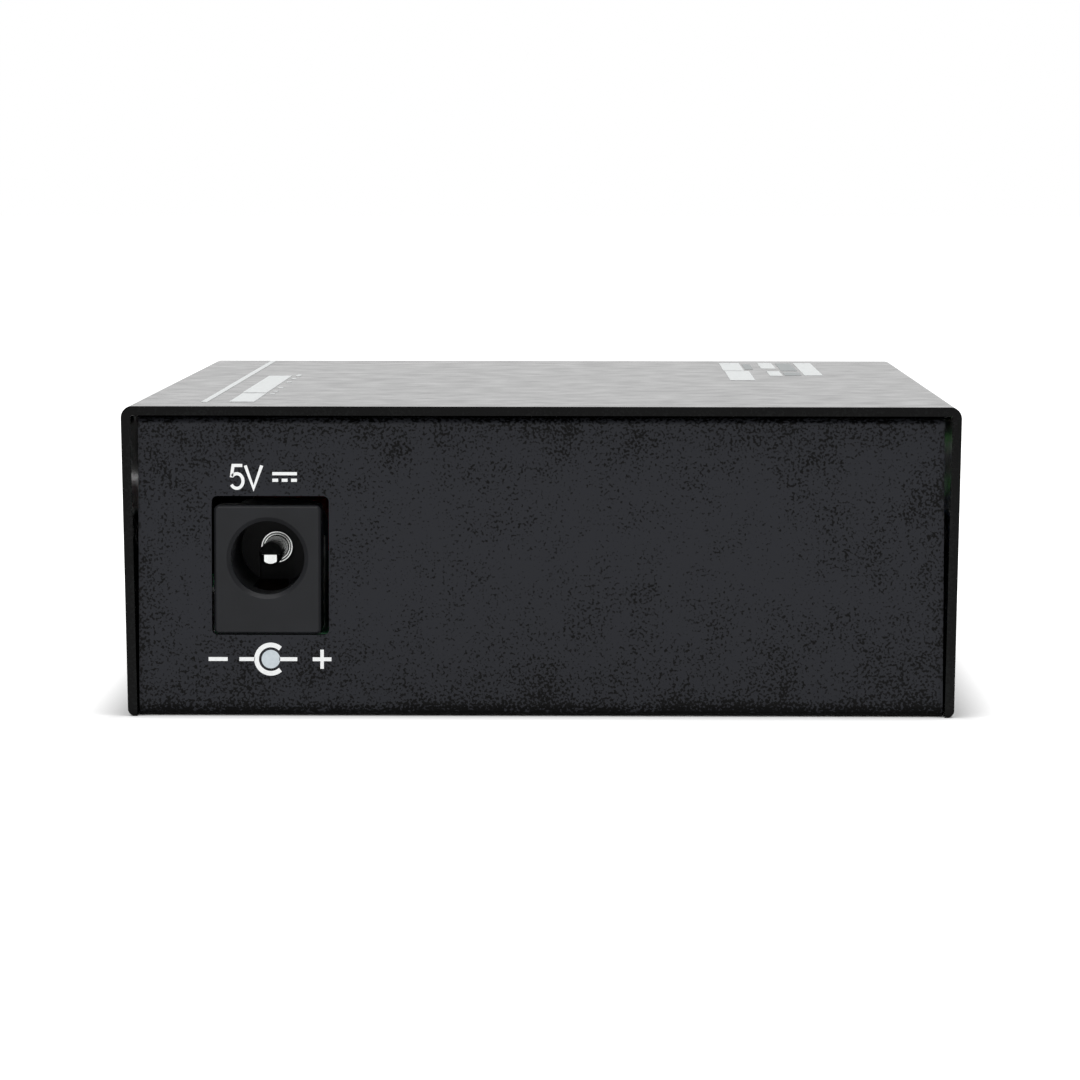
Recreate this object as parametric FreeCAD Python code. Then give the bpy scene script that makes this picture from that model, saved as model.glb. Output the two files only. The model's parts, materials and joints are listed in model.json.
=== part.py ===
import FreeCAD, Part
import math
import os
from FreeCAD import Vector

# Fibre media converter: a small folded-steel box that turns one copper network port into one
# duplex fibre port. Millimetres, +Z up. The origin is on the resting plane, under the middle of
# the box. -Y is the port side, +Y is the side with the power inlet.
#
# The box is two folded sheets: a cover (top and two side walls) over a tray (floor, port panel,
# power panel and low side flanges). One circuit board stands in the tray on four clinched
# standoffs and carries every connector.

# ---------------------------------------------------------------- box
case_width = 71.5            # over the top
case_length = 94.0
case_height = 26.5
wall_lean = 0.5              # the foot of each side wall stands this far in from its top
sheet = 0.8                  # steel sheet of the cover and the tray
bend = 0.2                   # inner radius of every fold
cover_gap = 0.15             # between the feet of the cover's walls and the tray
lid_gap = 0.1                # between the cover's top and the tray's return flanges
panel_recess = 0.4           # the panels sit this far inside the cover's ends
return_flange = 6.0          # fold at the top of each panel
side_flange = 5.0            # low upright fold along each long side of the floor
corner_relief = 0.3          # slit between neighbouring folds
lower_edge_radius = 0.6      # rolled lower edge of the cover's walls

# ---------------------------------------------------------------- vents in the side walls
vent_count = 11
vent_pitch = 4.0
vent_width = 1.8
vent_height = 11.0
vent_level = 13.5            # height of the vents' middle

# ---------------------------------------------------------------- cover screws and their tabs
thread = 3.0                 # M3 throughout
cover_screw_length = 5.0
cover_screw_inset = 13.0     # from the box's ends
cover_screw_level = 12.0
tab_width = 12.0
tab_margin = 4.6             # tab above the screw's middle
tab_chamfer = 2.0
thread_clearance = 0.04      # between a screw and the hole that holds it
free_clearance = 0.2         # between a screw and a hole that it passes

# ---------------------------------------------------------------- board and its fixings
board_thickness = 1.6
board_side_gap = 0.6
board_end_gap = 0.5
standoff_height = 4.6
standoff_foot = 6.0          # across the flats of the clinched foot
standoff_width = 5.0         # across the flats above the floor
board_screw_length = 5.0
board_screw_edge = 4.0       # screw's middle from the board's side
board_screw_behind = 9.0     # screw's middle behind a connector
pan_head = 5.6
pan_head_height = 2.0
cross_span = 3.0             # cross recess, tip to tip
cross_width = 0.75
cross_depth = 0.9
solder_clearance = 0.12      # around each lead in the board
lead_stub = 1.5              # lead below the board
lead_thickness = 0.5         # square leads of the cans

# ---------------------------------------------------------------- power inlet, for a 5.5 x 2.1 plug
inlet_from_side = 12.43      # inlet's middle from the box's +X side
inlet_width = 9.1
inlet_height = 11.0
inlet_length = 14.2
inlet_corner = 0.4           # rounding of the front block's corners
inlet_edge = 0.2             # chamfer round the front face
inlet_face_depth = 3.4       # full-section front block
inlet_shoulder = 2.2         # rounding of the rear block's top
inlet_bore = 6.3
inlet_axis_height = 6.5      # bore above the board
inlet_bore_lead = 0.35       # chamfer at the bore's mouth
inlet_bore_depth = 12.4
inlet_pin = 2.0
inlet_pin_tip = 3.8          # tip below the face
inlet_pin_nose = 0.4         # chamfer round the tip
inlet_pin_collar = 2.8
inlet_collar_thickness = 0.5
inlet_pin_slit = (0.22, 3.0)     # width and depth of the slit in the tip
inlet_window = (10.0, 11.9)
inlet_window_shift = (-0.25, 0.37)
inlet_window_corner = 0.5
contact_sheet = 0.3
pin_plate = (4.2, 2.2)       # width, and height above the bore's axis
pin_blade = 2.4
sleeve_spring_width = 2.6
sleeve_spring_start = 5.2    # spring's free end below the face
sleeve_spring_press = 0.5    # spring stands this far into the bore
sleeve_blade = 1.8
shunt_depth = 9.2            # contact's middle below the face
shunt_width = 2.4
shunt_rise = 1.2             # contact above the bore's axis
terminal_lift = 0.4          # plates stand this far above the board

# ---------------------------------------------------------------- copper port, an 8-way socket
port_proud = 0.4             # connector faces ahead of the port panel
lan_width = 16.0
lan_height = 13.4
lan_length = 21.3
lan_shield = 0.25
lan_rim = 1.15               # metal left round the shield's front window
lan_mouth_width = 11.9
lan_mouth_height = 6.9
lan_floor = 1.9              # mouth's floor above the board
lan_key_wide = (6.2, 1.5)
lan_key_narrow = (4.1, 1.3)
lan_mouth_depth = 14.5
lan_contacts_count = 8
lan_contact_pitch = 1.02
lan_contact_width = 0.46
lan_contact_thickness = 0.28
lan_leaf_front = 3.5         # fold at each leaf's front, behind the socket's face
lan_leaf_length = 8.0
lan_leaf_rise = 2.4          # free end above the mouth's floor
lan_leaf_turn = 0.4
lan_run_lift = 0.65          # return run above the board
lan_tail = 17.5              # tails behind the socket's face
lan_led_size = (3.0, 2.0)
lan_led_margin = 0.35        # lamp inside the shield's rim
shield_spring = (4.4, 2.4)   # length and width of an earthing spring
shield_spring_bow = 0.45

# ---------------------------------------------------------------- fibre port, duplex, on a nine-pin module
fibre_width = 25.4
fibre_height = 10.2
fibre_length = 39.6
fibre_nose = 19.0
fibre_pitch = 12.7
fibre_mouth_width = 9.2
fibre_mouth_height = 7.6
fibre_mouth_depth = 17.0
fibre_floor = 1.0
fibre_key = (2.8, 0.9)
fibre_wall = 1.0
fibre_lid = 0.5
ferrule = 2.5
ferrule_sleeve = 3.3
ferrule_depth = 7.0
sleeve_reach = 7.0           # sleeve stands this far into the mouth
optics_block = (6.8, 6.8, 7.2)   # square body of each channel's optics in the tub
hook_thickness = 0.9
hook_length = 9.0
hook_height = 4.0
module_pins = 9
module_pin = 0.5
lead_pitch = 2.54

# ---------------------------------------------------------------- status lamps beside the fibre port
lamp = (3.0, 2.0)            # rectangular lens
lamp_columns = 2
lamp_rows = 3
lamp_row_pitch = 4.3
lamp_floor = 0.4             # lowest lamp's cell above the board
lamp_length = 6.5
lamp_proud = 0.3             # lens ahead of the panel
lamp_hole_clearance = 0.15
lamp_lead = 0.5
lamp_lead_spacing = 1.6
lamp_lead_turn = 0.5         # lowest leads turn down this far behind the lamp
lamp_lead_step = 0.9         # and each row above that much further back
lamp_holder_depth = 8.5
lamp_holder_foot = 1.2       # thickness of the foot behind the lamps

# ---------------------------------------------------------------- setting switches beside the copper port
switch_count = 4
switch_height = 7.0
switch_depth = 6.5
switch_lip = 0.6
switch_knob = (1.4, 1.6)
switch_knob_proud = 0.3
switch_foot = (1.9, 2.4)
switch_foot_thickness = 0.8
switch_travel = 1.6
switch_clearance = 0.1
switch_wall = 0.8
switch_blade = (0.5, 0.3)
switch_blade_rise = 1.8

# ---------------------------------------------------------------- small components: width, depth, height
transformer_size = (16.0, 12.0, 5.8)
transformer_lead_pitch = 1.8
transformer_lead_foot = 1.6
chip_size = (12.0, 12.0, 1.0)
crystal_size = (11.0, 4.6, 3.4)
memory_size = (4.9, 3.9, 1.5)
memory_lead_pitch = 1.27
memory_lead_foot = 1.0
gull_lead = (0.4, 0.18)      # width and thickness
inductor_size = (10.0, 10.0, 4.2)
capacitor_diameter = 8.0
capacitor_height = 11.5
capacitor_lead_pitch = 3.5
regulator_size = (6.5, 3.5, 1.6)
regulator_leg = (0.7, 1.6, 0.3)
regulator_leg_pitch = 2.3
regulator_tab = 3.0
fuse_size = (4.5, 3.2, 1.0)
resistor_size = (0.8, 1.6, 0.5)
ceramic_size = (1.2, 2.0, 1.0)
small_pitch = 1.8            # between the middles of neighbouring resistors
ceramic_pitch = 2.4

# ---------------------------------------------------------------- spacing on the board
window_gap = 0.3             # between a connector and its window in the panel
seat_gap = 0.05              # between a part and what it stands on
part_gap = 2.5               # between the smaller components

# ---------------------------------------------------------------- worked out from the above
fold = bend + sheet
tray_half = case_width / 2 - wall_lean - sheet - cover_gap
panel_y = case_length / 2 - panel_recess
tray_top = case_height - sheet - lid_gap
board_under = sheet + standoff_height
board_top = board_under + board_thickness
board_half = tray_half - sheet - board_side_gap
board_end = panel_y - sheet - board_end_gap
cover_screw_y = case_length / 2 - cover_screw_inset
port_face = -panel_y - port_proud

# The ports fill the board from side to side. What they leave free is shared out evenly: one gap
# for each column of lamps, one on each side of the fibre port and one before the switches.
switch_width = switch_count * lead_pitch + switch_wall
ports_width = lamp_columns * lamp[0] + fibre_width + lan_width + switch_width
port_gap = (2 * board_half - ports_width) / (lamp_columns + 3)
lamp_column_pitch = lamp[0] + port_gap
lamp_holder_width = lamp_columns * lamp_column_pitch
lamp_x = -board_half + lamp_holder_width / 2
fibre_x = lamp_x + lamp_holder_width / 2 + port_gap + fibre_width / 2
lan_x = fibre_x + fibre_width / 2 + port_gap + lan_width / 2
switch_x = lan_x + lan_width / 2 + port_gap + switch_width / 2
inlet_x = case_width / 2 - inlet_from_side
inlet_axis_z = board_top + inlet_axis_height
inlet_back = panel_y - inlet_length

beside_fibre = (fibre_x - fibre_width / 2 - board_half) / 2
board_screw_places = [
    (-board_half + pan_head, board_end - pan_head),
    (board_half - board_screw_edge, inlet_back - pan_head),
    (beside_fibre, -board_end + lamp_holder_depth + board_screw_behind),
    (board_half - board_screw_edge, -board_end + switch_depth + board_screw_behind),
]


def wall_face(level):
    """How far out the cover's side wall stands at a height."""
    return case_width / 2 - wall_lean * (1 - level / case_height)


screw_gap = wall_face(cover_screw_level) - sheet - tray_half
flat_head = thread + 2 * (sheet + screw_gap)


# ================================================================ drawing helpers
AXES = {
    "x": lambda a, b, along: Vector(along, a, b),
    "y": lambda a, b, along: Vector(a, along, b),
    "z": lambda a, b, along: Vector(a, b, along),
}


def box(x, y, z):
    """A block from its (low, high) spans."""
    size = [high - low for low, high in (x, y, z)]
    return Part.makeBox(*size, Vector(x[0], y[0], z[0]))


def span(middle, width):
    return (middle - width / 2, middle + width / 2)


def cylinder(diameter, start, direction, length):
    return Part.makeCylinder(diameter / 2, length, Vector(*start), Vector(*direction))


def outline(corners, place):
    """A closed wire. Each corner is (a, b), or (a, b, radius) where it is rounded."""
    stops = []
    count = len(corners)
    for index, corner in enumerate(corners):
        here = Vector(corner[0], corner[1], 0)
        radius = corner[2] if len(corner) > 2 else 0
        if radius <= 0:
            stops.append((here, None, here))
            continue
        before = Vector(*corners[index - 1][:2], 0) - here
        after = Vector(*corners[(index + 1) % count][:2], 0) - here
        before.normalize()
        after.normalize()
        half_angle = before.getAngle(after) / 2
        back_off = radius / math.tan(half_angle)
        middle = before + after
        middle.normalize()
        crown = here + middle * (radius / math.sin(half_angle) - radius)
        stops.append((here + before * back_off, crown, here + after * back_off))
    edges = []
    for index, (start, crown, end) in enumerate(stops):
        if crown is not None:
            edges.append(Part.Arc(place(start), place(crown), place(end)).toShape())
        following = stops[(index + 1) % count][0]
        if end.distanceToPoint(following) > 1e-6:
            edges.append(Part.LineSegment(place(end), place(following)).toShape())
    return Part.Wire(edges)


def prism(axis, corners, low, high):
    """A solid of one outline, drawn across the axis and drawn out along it from low to high."""
    place = AXES[axis]
    face = Part.Face(outline(corners, lambda p: place(p.x, p.y, low)))
    return face.extrude(place(0, 0, high) - place(0, 0, low))


def turned(profile, start, direction):
    """A solid of revolution. The profile's corners are (radius, distance along the axis)."""
    face = Part.Face(outline(profile, lambda p: Vector(p.x, 0, p.y)))
    solid = face.revolve(Vector(0, 0, 0), Vector(0, 0, 1), 360)
    turn = FreeCAD.Rotation(Vector(0, 0, 1), Vector(*direction))
    solid.Placement = FreeCAD.Placement(Vector(*start), turn)
    return solid


def rectangle(a, b, radius=0.0):
    return [(a[0], b[0], radius), (a[1], b[0], radius), (a[1], b[1], radius), (a[0], b[1], radius)]


def ribbon(points, thickness, inner_radius=None):
    """The outline of a folded strip from its middle line. Its folds are sharp where no radius is given."""
    path = [Vector(a, b, 0) for a, b in points]
    runs = [(path[i + 1] - path[i]).normalize() for i in range(len(path) - 1)]
    left, right = [], []
    for index, here in enumerate(path):
        before = runs[max(index - 1, 0)]
        after = runs[min(index, len(runs) - 1)]
        across_before = Vector(-before.y, before.x, 0)
        across_after = Vector(-after.y, after.x, 0)
        mitre = (across_before + across_after) * (1 / (1 + across_before.dot(across_after)))
        turn = before.x * after.y - before.y * after.x
        rounded = inner_radius is not None and 0 < index < len(path) - 1
        inner = inner_radius if rounded else 0
        outer = inner_radius + thickness if rounded else 0
        sides = (inner, outer) if turn > 0 else (outer, inner)
        offset = mitre * (thickness / 2)
        left.append((here.x + offset.x, here.y + offset.y, sides[0]))
        right.append((here.x - offset.x, here.y - offset.y, sides[1]))
    return left + right[::-1]


def joined(*shapes):
    return shapes[0].multiFuse(list(shapes[1:])).removeSplitter()


def mirrored_in_x(shape):
    return shape.mirror(Vector(0, 0, 0), Vector(1, 0, 0))


def both_sides(shape):
    return [shape, mirrored_in_x(shape)]


# ================================================================ folded sheets
def at_cover_screws(make):
    """What make(start, inward) gives at each of the four cover screws."""
    face = wall_face(cover_screw_level)
    made = []
    for side in (-1, 1):
        for end in (-1, 1):
            made.append(make((side * face, end * cover_screw_y, cover_screw_level), (-side, 0, 0)))
    return made


def countersink(start, inward):
    """Cutter for a 45 degree seat through the cover, one gap wider than the screw's head."""
    reach = flat_head / 2 + seat_gap
    depth = sheet + screw_gap
    profile = [(0, -sheet), (reach, -sheet), (reach, 0), (reach - depth, depth), (0, depth)]
    return turned(profile, start, inward)


def top_cover():
    """Top and two side walls folded from one sheet, with vent slots and pressed countersinks."""
    top, foot = wall_face(case_height), wall_face(0)
    lid = case_height - sheet
    outer = [(foot, 0), (top, case_height, fold)]
    inner = [(wall_face(lid) - sheet, lid, bend), (foot - sheet, 0)]
    half = outer + [(-a, b, *radius) for a, b, *radius in reversed(outer)]
    section = half + [(-a, b, *radius) for a, b, *radius in reversed(inner)] + inner
    body = prism("y", section, -case_length / 2, case_length / 2)

    def is_lower_outer(edge):
        box_of = edge.BoundBox
        return box_of.ZMax < 1e-6 and abs(abs(box_of.Center.x) - foot) < 1e-6

    body = body.makeFillet(lower_edge_radius, [e for e in body.Edges if is_lower_outer(e)])
    cuts = at_cover_screws(countersink)
    first = -(vent_count - 1) / 2 * vent_pitch
    for index in range(vent_count):
        middle = first + index * vent_pitch
        cuts.append(box((-case_width, case_width), span(middle, vent_width), span(vent_level, vent_height)))
    return body.cut(Part.makeCompound(cuts))


def panel_windows():
    """Every opening in the port panel and the power panel."""
    ahead, behind = -panel_y - 2, -panel_y + sheet + 1
    cuts = []
    for column in range(lamp_columns):
        for row in range(lamp_rows):
            x, z = lamp_place(column, row)
            width, height = (size + 2 * lamp_hole_clearance for size in lamp)
            cuts.append(box(span(x, width), (ahead, behind), span(z, height)))
    for middle, width, height in (
        (fibre_x, fibre_width, fibre_height),
        (lan_x, lan_width, lan_height),
        (switch_x, switch_width, switch_height),
    ):
        level = (board_top - window_gap, board_top + height + window_gap)
        cuts.append(box(span(middle, width + 2 * window_gap), (ahead, behind), level))
    width, height = inlet_window
    middle_x = inlet_x + inlet_window_shift[0]
    middle_z = board_top + inlet_height / 2 + inlet_window_shift[1]
    window = rectangle(span(middle_x, width), span(middle_z, height), inlet_window_corner)
    cuts.append(prism("y", window, panel_y - sheet - 1, panel_y + 2))
    return cuts


def base_tray():
    """Floor, both panels and the side flanges folded from one sheet."""
    end = panel_y - sheet / 2
    top = tray_top - sheet / 2
    low = sheet / 2
    path = [(end - return_flange, top), (end, top), (end, low)]
    section = ribbon(path + [(-a, b) for a, b in reversed(path)], sheet, bend)
    # The panels run out to the tray's sides. Between them the floor stops where the flanges fold up.
    between = panel_y - fold - corner_relief
    fold_room = box((-case_width, case_width), (-between, between), (-1, fold))
    parts = [
        prism("x", section, -tray_half, tray_half).cut(fold_room),
        prism("x", section, -tray_half + fold, tray_half - fold),
    ]
    flange_x = tray_half - sheet / 2
    angle = ribbon([(flange_x - 2 * fold, low), (flange_x, low), (flange_x, side_flange)], sheet, bend)
    reach = panel_y - sheet - corner_relief
    parts += both_sides(prism("y", angle, -reach, reach))
    tab_top = cover_screw_level + tab_margin
    for end_sign in (-1, 1):
        near, far = span(end_sign * cover_screw_y, tab_width)
        corners = [
            (near, side_flange / 2),
            (far, side_flange / 2),
            (far, tab_top - tab_chamfer),
            (far - tab_chamfer, tab_top),
            (near + tab_chamfer, tab_top),
            (near, tab_top - tab_chamfer),
        ]
        parts += both_sides(prism("x", corners, tray_half - sheet, tray_half))
    body = joined(*parts)
    cuts = panel_windows()
    foot = standoff_foot + 2 * thread_clearance
    cuts += [hexagon(foot, place, -1, sheet + 1) for place in board_screw_places]
    tapped = thread + 2 * thread_clearance
    cuts += at_cover_screws(lambda start, inward: cylinder(tapped, start, inward, screw_gap + 3 * sheet))
    return body.cut(Part.makeCompound(cuts))


# ================================================================ fasteners
def cross_recess(depth, start, direction):
    """A cross recess, as a cutter that goes in along the direction."""
    arms = []
    for a, b in ((cross_span, cross_width), (cross_width, cross_span)):
        face = Part.Face(outline(rectangle(span(0, a), span(0, b)), lambda p: Vector(p.x, p.y, 0)))
        arms.append(face.extrude(Vector(0, 0, depth)))
    cutter = arms[0].fuse(arms[1])
    turn = FreeCAD.Rotation(Vector(0, 0, 1), Vector(*direction))
    cutter.Placement = FreeCAD.Placement(Vector(*start), turn)
    return cutter


def cover_screw(start, inward):
    """A flat-head screw whose cone ends where the tray's tab begins."""
    cone = (flat_head - thread) / 2
    profile = [
        (0, 0),
        (flat_head / 2, 0),
        (thread / 2, cone),
        (thread / 2, cover_screw_length),
        (0, cover_screw_length),
    ]
    return turned(profile, start, inward).cut(cross_recess(cross_depth, start, inward))


def hexagon(across_flats, place, low, high):
    """A hexagonal prism along Z."""
    reach = across_flats / 2 / math.cos(math.radians(30))
    corners = []
    for index in range(6):
        angle = math.radians(60 * index)
        corners.append((place[0] + reach * math.cos(angle), place[1] + reach * math.sin(angle)))
    return prism("z", corners, low, high)


def board_standoffs():
    """Four hexagonal standoffs, each with a wider foot clinched flush into the floor, threaded through."""
    standoffs = []
    for place in board_screw_places:
        foot = hexagon(standoff_foot, place, 0, sheet)
        body = joined(foot, hexagon(standoff_width, place, sheet, board_under))
        tapped = thread + 2 * thread_clearance
        standoffs.append(body.cut(cylinder(tapped, (*place, -1), (0, 0, 1), board_under + 2)))
    return standoffs


def board_screws():
    """Four pan-head screws that hold the board down."""
    screws = []
    profile = [
        (0, pan_head_height),
        (pan_head / 2, pan_head_height),
        (pan_head / 2, 0),
        (thread / 2, 0),
        (thread / 2, -board_screw_length),
        (0, -board_screw_length),
    ]
    for x, y in board_screw_places:
        screws.append(turned(profile, (x, y, board_top), (0, 0, 1)))
    return screws


# ================================================================ power inlet
def inlet_y(depth):
    """Y of a point that deep behind the inlet's face."""
    return panel_y - depth


def inlet_body():
    """Moulded socket: a square front block, a rounded rear block, a stepped bore and two contact wells."""
    face = panel_y
    level = (board_top, board_top + inlet_height)
    section = rectangle(span(inlet_x, inlet_width), level, inlet_corner)
    front = prism("y", section, inlet_y(inlet_face_depth), face)
    front = front.makeChamfer(inlet_edge, [e for e in front.Edges if e.BoundBox.YMin > face - 1e-6])
    rear_half = inlet_width / 2 - inlet_edge
    rear_top = board_top + inlet_height - 2 * inlet_edge
    corners = rectangle((inlet_x - rear_half, inlet_x + rear_half), (board_top, rear_top), 0)
    corners[2] = (corners[2][0], corners[2][1], inlet_shoulder)
    corners[3] = (corners[3][0], corners[3][1], inlet_shoulder)
    body = front.fuse(prism("y", corners, inlet_back, inlet_y(inlet_face_depth)))
    axis_start = (inlet_x, face, inlet_axis_z)
    bore = [
        (0, 0),
        (inlet_bore / 2 + inlet_bore_lead, 0),
        (inlet_bore / 2, inlet_bore_lead),
        (inlet_bore / 2, inlet_bore_depth),
        (0, inlet_bore_depth),
    ]
    cuts = [turned(bore, axis_start, (0, -1, 0))]
    shank = inlet_pin + 2 * seat_gap
    cuts.append(cylinder(shank, axis_start, (0, -1, 0), inlet_length + 1))
    cuts.append(
        box(
            span(inlet_x, sleeve_spring_width + 2 * free_clearance),
            (inlet_y(inlet_bore_depth + 1.0), inlet_y(sleeve_spring_start - 1.0)),
            (board_top - 1, inlet_axis_z),
        )
    )
    shunt_well = (inlet_x - inlet_width, inlet_x - inlet_bore / 2 + free_clearance)
    cuts.append(
        box(
            shunt_well,
            span(inlet_y(shunt_depth), shunt_width + 2 * free_clearance),
            (board_top - 1, inlet_axis_z + shunt_rise + free_clearance),
        )
    )
    return body.cut(Part.makeCompound(cuts))


def inlet_centre_pin():
    """Slit contact pin, with the collar that stops it against the bore's floor and a riveted tail."""
    tip = inlet_pin_tip
    radius = inlet_pin / 2
    nose = inlet_pin_nose
    tail = inlet_length + contact_sheet
    profile = [
        (0, tip),
        (radius - nose, tip),
        (radius, tip + nose),
        (radius, inlet_bore_depth - inlet_collar_thickness),
        (inlet_pin_collar / 2, inlet_bore_depth - inlet_collar_thickness),
        (inlet_pin_collar / 2, inlet_bore_depth),
        (radius, inlet_bore_depth),
        (radius, tail),
        (0, tail),
    ]
    pin = turned(profile, (inlet_x, panel_y, inlet_axis_z), (0, -1, 0))
    slit_width, slit_depth = inlet_pin_slit
    slit = box(
        span(inlet_x, 2 * inlet_pin),
        (inlet_y(tip + slit_depth), inlet_y(0)),
        span(inlet_axis_z, slit_width),
    )
    return pin.cut(slit)


def inlet_pin_terminal():
    """Plate riveted to the pin's tail, with a blade down through the board."""
    plate_y = (inlet_back - contact_sheet, inlet_back)
    width, rise = pin_plate
    foot = board_top + terminal_lift
    plate = box(span(inlet_x, width), plate_y, (foot, inlet_axis_z + rise))
    blade = box(span(inlet_x, pin_blade), plate_y, (board_under - lead_stub, foot))
    hole = cylinder(inlet_pin + 2 * thread_clearance, (inlet_x, inlet_back - 1, inlet_axis_z), (0, 1, 0), 2)
    return joined(plate, blade).cut(hole)


def inlet_sleeve_spring():
    """Leaf that presses on the plug's barrel from below, with a blade down through the board."""
    floor = board_top + terminal_lift
    crest = inlet_axis_z - inlet_bore / 2 + sleeve_spring_press
    crest_depth = sleeve_spring_start + sleeve_spring_width
    fold_depth = inlet_bore_depth - terminal_lift
    blade_depth = fold_depth - sleeve_spring_width
    leaf = ribbon(
        [
            (inlet_y(sleeve_spring_start), (floor + crest) / 2),
            (inlet_y(crest_depth), crest),
            (inlet_y(fold_depth), floor),
            (inlet_y(blade_depth), floor),
        ],
        contact_sheet,
    )
    strip = prism("x", leaf, *span(inlet_x, sleeve_spring_width))
    blade_y = (inlet_y(blade_depth), inlet_y(blade_depth) - contact_sheet)[::-1]
    blade = box(span(inlet_x, sleeve_blade), blade_y, (board_under - lead_stub, floor))
    return joined(strip, blade)


def inlet_shunt_contact():
    """Fixed contact at the side of the bore that the leaf rests on when no plug is in."""
    near = inlet_x - inlet_width / 2 + inlet_edge
    plate_x = (near, near + contact_sheet)
    foot = board_top + terminal_lift
    plate = box(plate_x, span(inlet_y(shunt_depth), shunt_width), (foot, inlet_axis_z + shunt_rise))
    blade = box(plate_x, span(inlet_y(shunt_depth), sleeve_blade), (board_under - lead_stub, foot))
    return joined(plate, blade)


# ================================================================ copper port
def lan_mouth():
    """Outline of the plug's opening: a wide mouth with the two-step key for the latch above it."""
    floor = board_top + lan_floor
    shoulder = floor + lan_mouth_height
    wide, wide_height = lan_key_wide
    narrow, narrow_height = lan_key_narrow
    half = [
        (lan_mouth_width / 2, floor),
        (lan_mouth_width / 2, shoulder),
        (wide / 2, shoulder),
        (wide / 2, shoulder + wide_height),
        (narrow / 2, shoulder + wide_height),
        (narrow / 2, shoulder + wide_height + narrow_height),
    ]
    right = [(lan_x + a, b) for a, b in half]
    left = [(lan_x - a, b) for a, b in reversed(half)]
    return right + left


def lan_led_spans(side):
    """(x, z) spans of the small lamp in one upper corner; side is -1 or 1."""
    width, height = lan_led_size
    middle = lan_x + side * (lan_width / 2 - lan_rim - lan_led_margin - width / 2)
    top = board_top + lan_height - lan_rim - lan_led_margin
    return span(middle, width), (top - height, top)


def lan_housing():
    """Moulded insulator inside the shield, with the mouth, the lamp wells and the contact channel."""
    skin = lan_shield + seat_gap
    back = port_face + lan_length - skin
    body = box(
        span(lan_x, lan_width - 2 * skin),
        (port_face + skin, back),
        (board_top, board_top + lan_height - skin),
    )
    cuts = [prism("y", lan_mouth(), port_face - 1, port_face + lan_mouth_depth)]
    for side in (-1, 1):
        x, z = lan_led_spans(side)
        grown_x = (x[0] - seat_gap, x[1] + seat_gap)
        grown_z = (z[0] - seat_gap, z[1] + seat_gap)
        cuts.append(box(grown_x, (port_face - 1, back + 1), grown_z))
    comb = span(lan_x, lan_contacts_count * lan_contact_pitch)
    comb_front = port_face + lan_leaf_front - 2 * lan_leaf_turn - lan_contact_thickness
    comb_back = port_face + lan_leaf_front + 2 * lan_leaf_turn + lan_contact_thickness
    cuts.append(box(comb, (comb_front, back + 1), (board_top - 1, board_top + 2 * lan_run_lift)))
    cuts.append(box(comb, (comb_front, comb_back), (board_top, board_top + lan_floor + 1)))
    return body.cut(Part.makeCompound(cuts))


def lan_shield_can():
    """Folded tin-plate shield, open below, with a windowed front and four earthing springs."""
    outer = box(
        span(lan_x, lan_width),
        (port_face, port_face + lan_length),
        (board_top, board_top + lan_height),
    )
    inner = box(
        span(lan_x, lan_width - 2 * lan_shield),
        (port_face + lan_shield, port_face + lan_length - lan_shield),
        (board_top - 1, board_top + lan_height - lan_shield),
    )
    window = rectangle(
        span(lan_x, lan_width - 2 * lan_rim),
        (board_top + lan_rim, board_top + lan_height - lan_rim),
        0.3,
    )
    can = outer.cut(inner).cut(prism("y", window, port_face - 1, port_face + lan_shield + 0.01))
    springs = []
    length, width = shield_spring
    near = -panel_y + 2 * sheet
    crest, far = near + length / 2, near + length
    top = board_top + lan_height
    for side in (-1, 1):
        wall = lan_x + side * lan_width / 2
        bow = [(wall, near), (wall + side * shield_spring_bow, crest), (wall, far)]
        springs.append(prism("z", bow, *span(board_top + lan_height / 2, width)))
        hump = [(near, top), (crest, top + shield_spring_bow), (far, top)]
        springs.append(prism("x", hump, *span(lan_x + side * lan_width / 4, width)))
    return joined(can, *springs)


def lan_contact_leaves():
    """Eight sprung wires: a sloping leaf in the mouth, a fold at its front and a tail to the board."""
    run = board_top + lan_run_lift
    front = port_face + lan_leaf_front
    floor = board_top + lan_floor
    path = [
        (front + lan_leaf_length, floor + lan_leaf_rise),
        (front, floor + lan_leaf_turn),
        (front - lan_leaf_turn, run),
        (port_face + lan_tail, run),
        (port_face + lan_tail, board_under - lead_stub),
    ]
    leaf = ribbon(path, lan_contact_thickness)
    first = lan_x - (lan_contacts_count - 1) / 2 * lan_contact_pitch
    middles = [first + i * lan_contact_pitch for i in range(lan_contacts_count)]
    return [prism("x", leaf, *span(middle, lan_contact_width)) for middle in middles]


def lan_led(side):
    """Light pipe of one corner lamp, from the socket's face to its back."""
    x, z = lan_led_spans(side)
    skin = lan_shield + seat_gap
    return box(x, (port_face + skin, port_face + lan_length - skin - 1), z)


# ================================================================ fibre port
def fibre_y(depth):
    """Y of a point that deep behind the receptacle's face."""
    return port_face + depth


def fibre_axis(side):
    """(x, z) of one ferrule's axis; side is -1 for transmit and 1 for receive."""
    return fibre_x + side * fibre_pitch / 2, board_top + fibre_floor + fibre_mouth_height / 2


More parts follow.
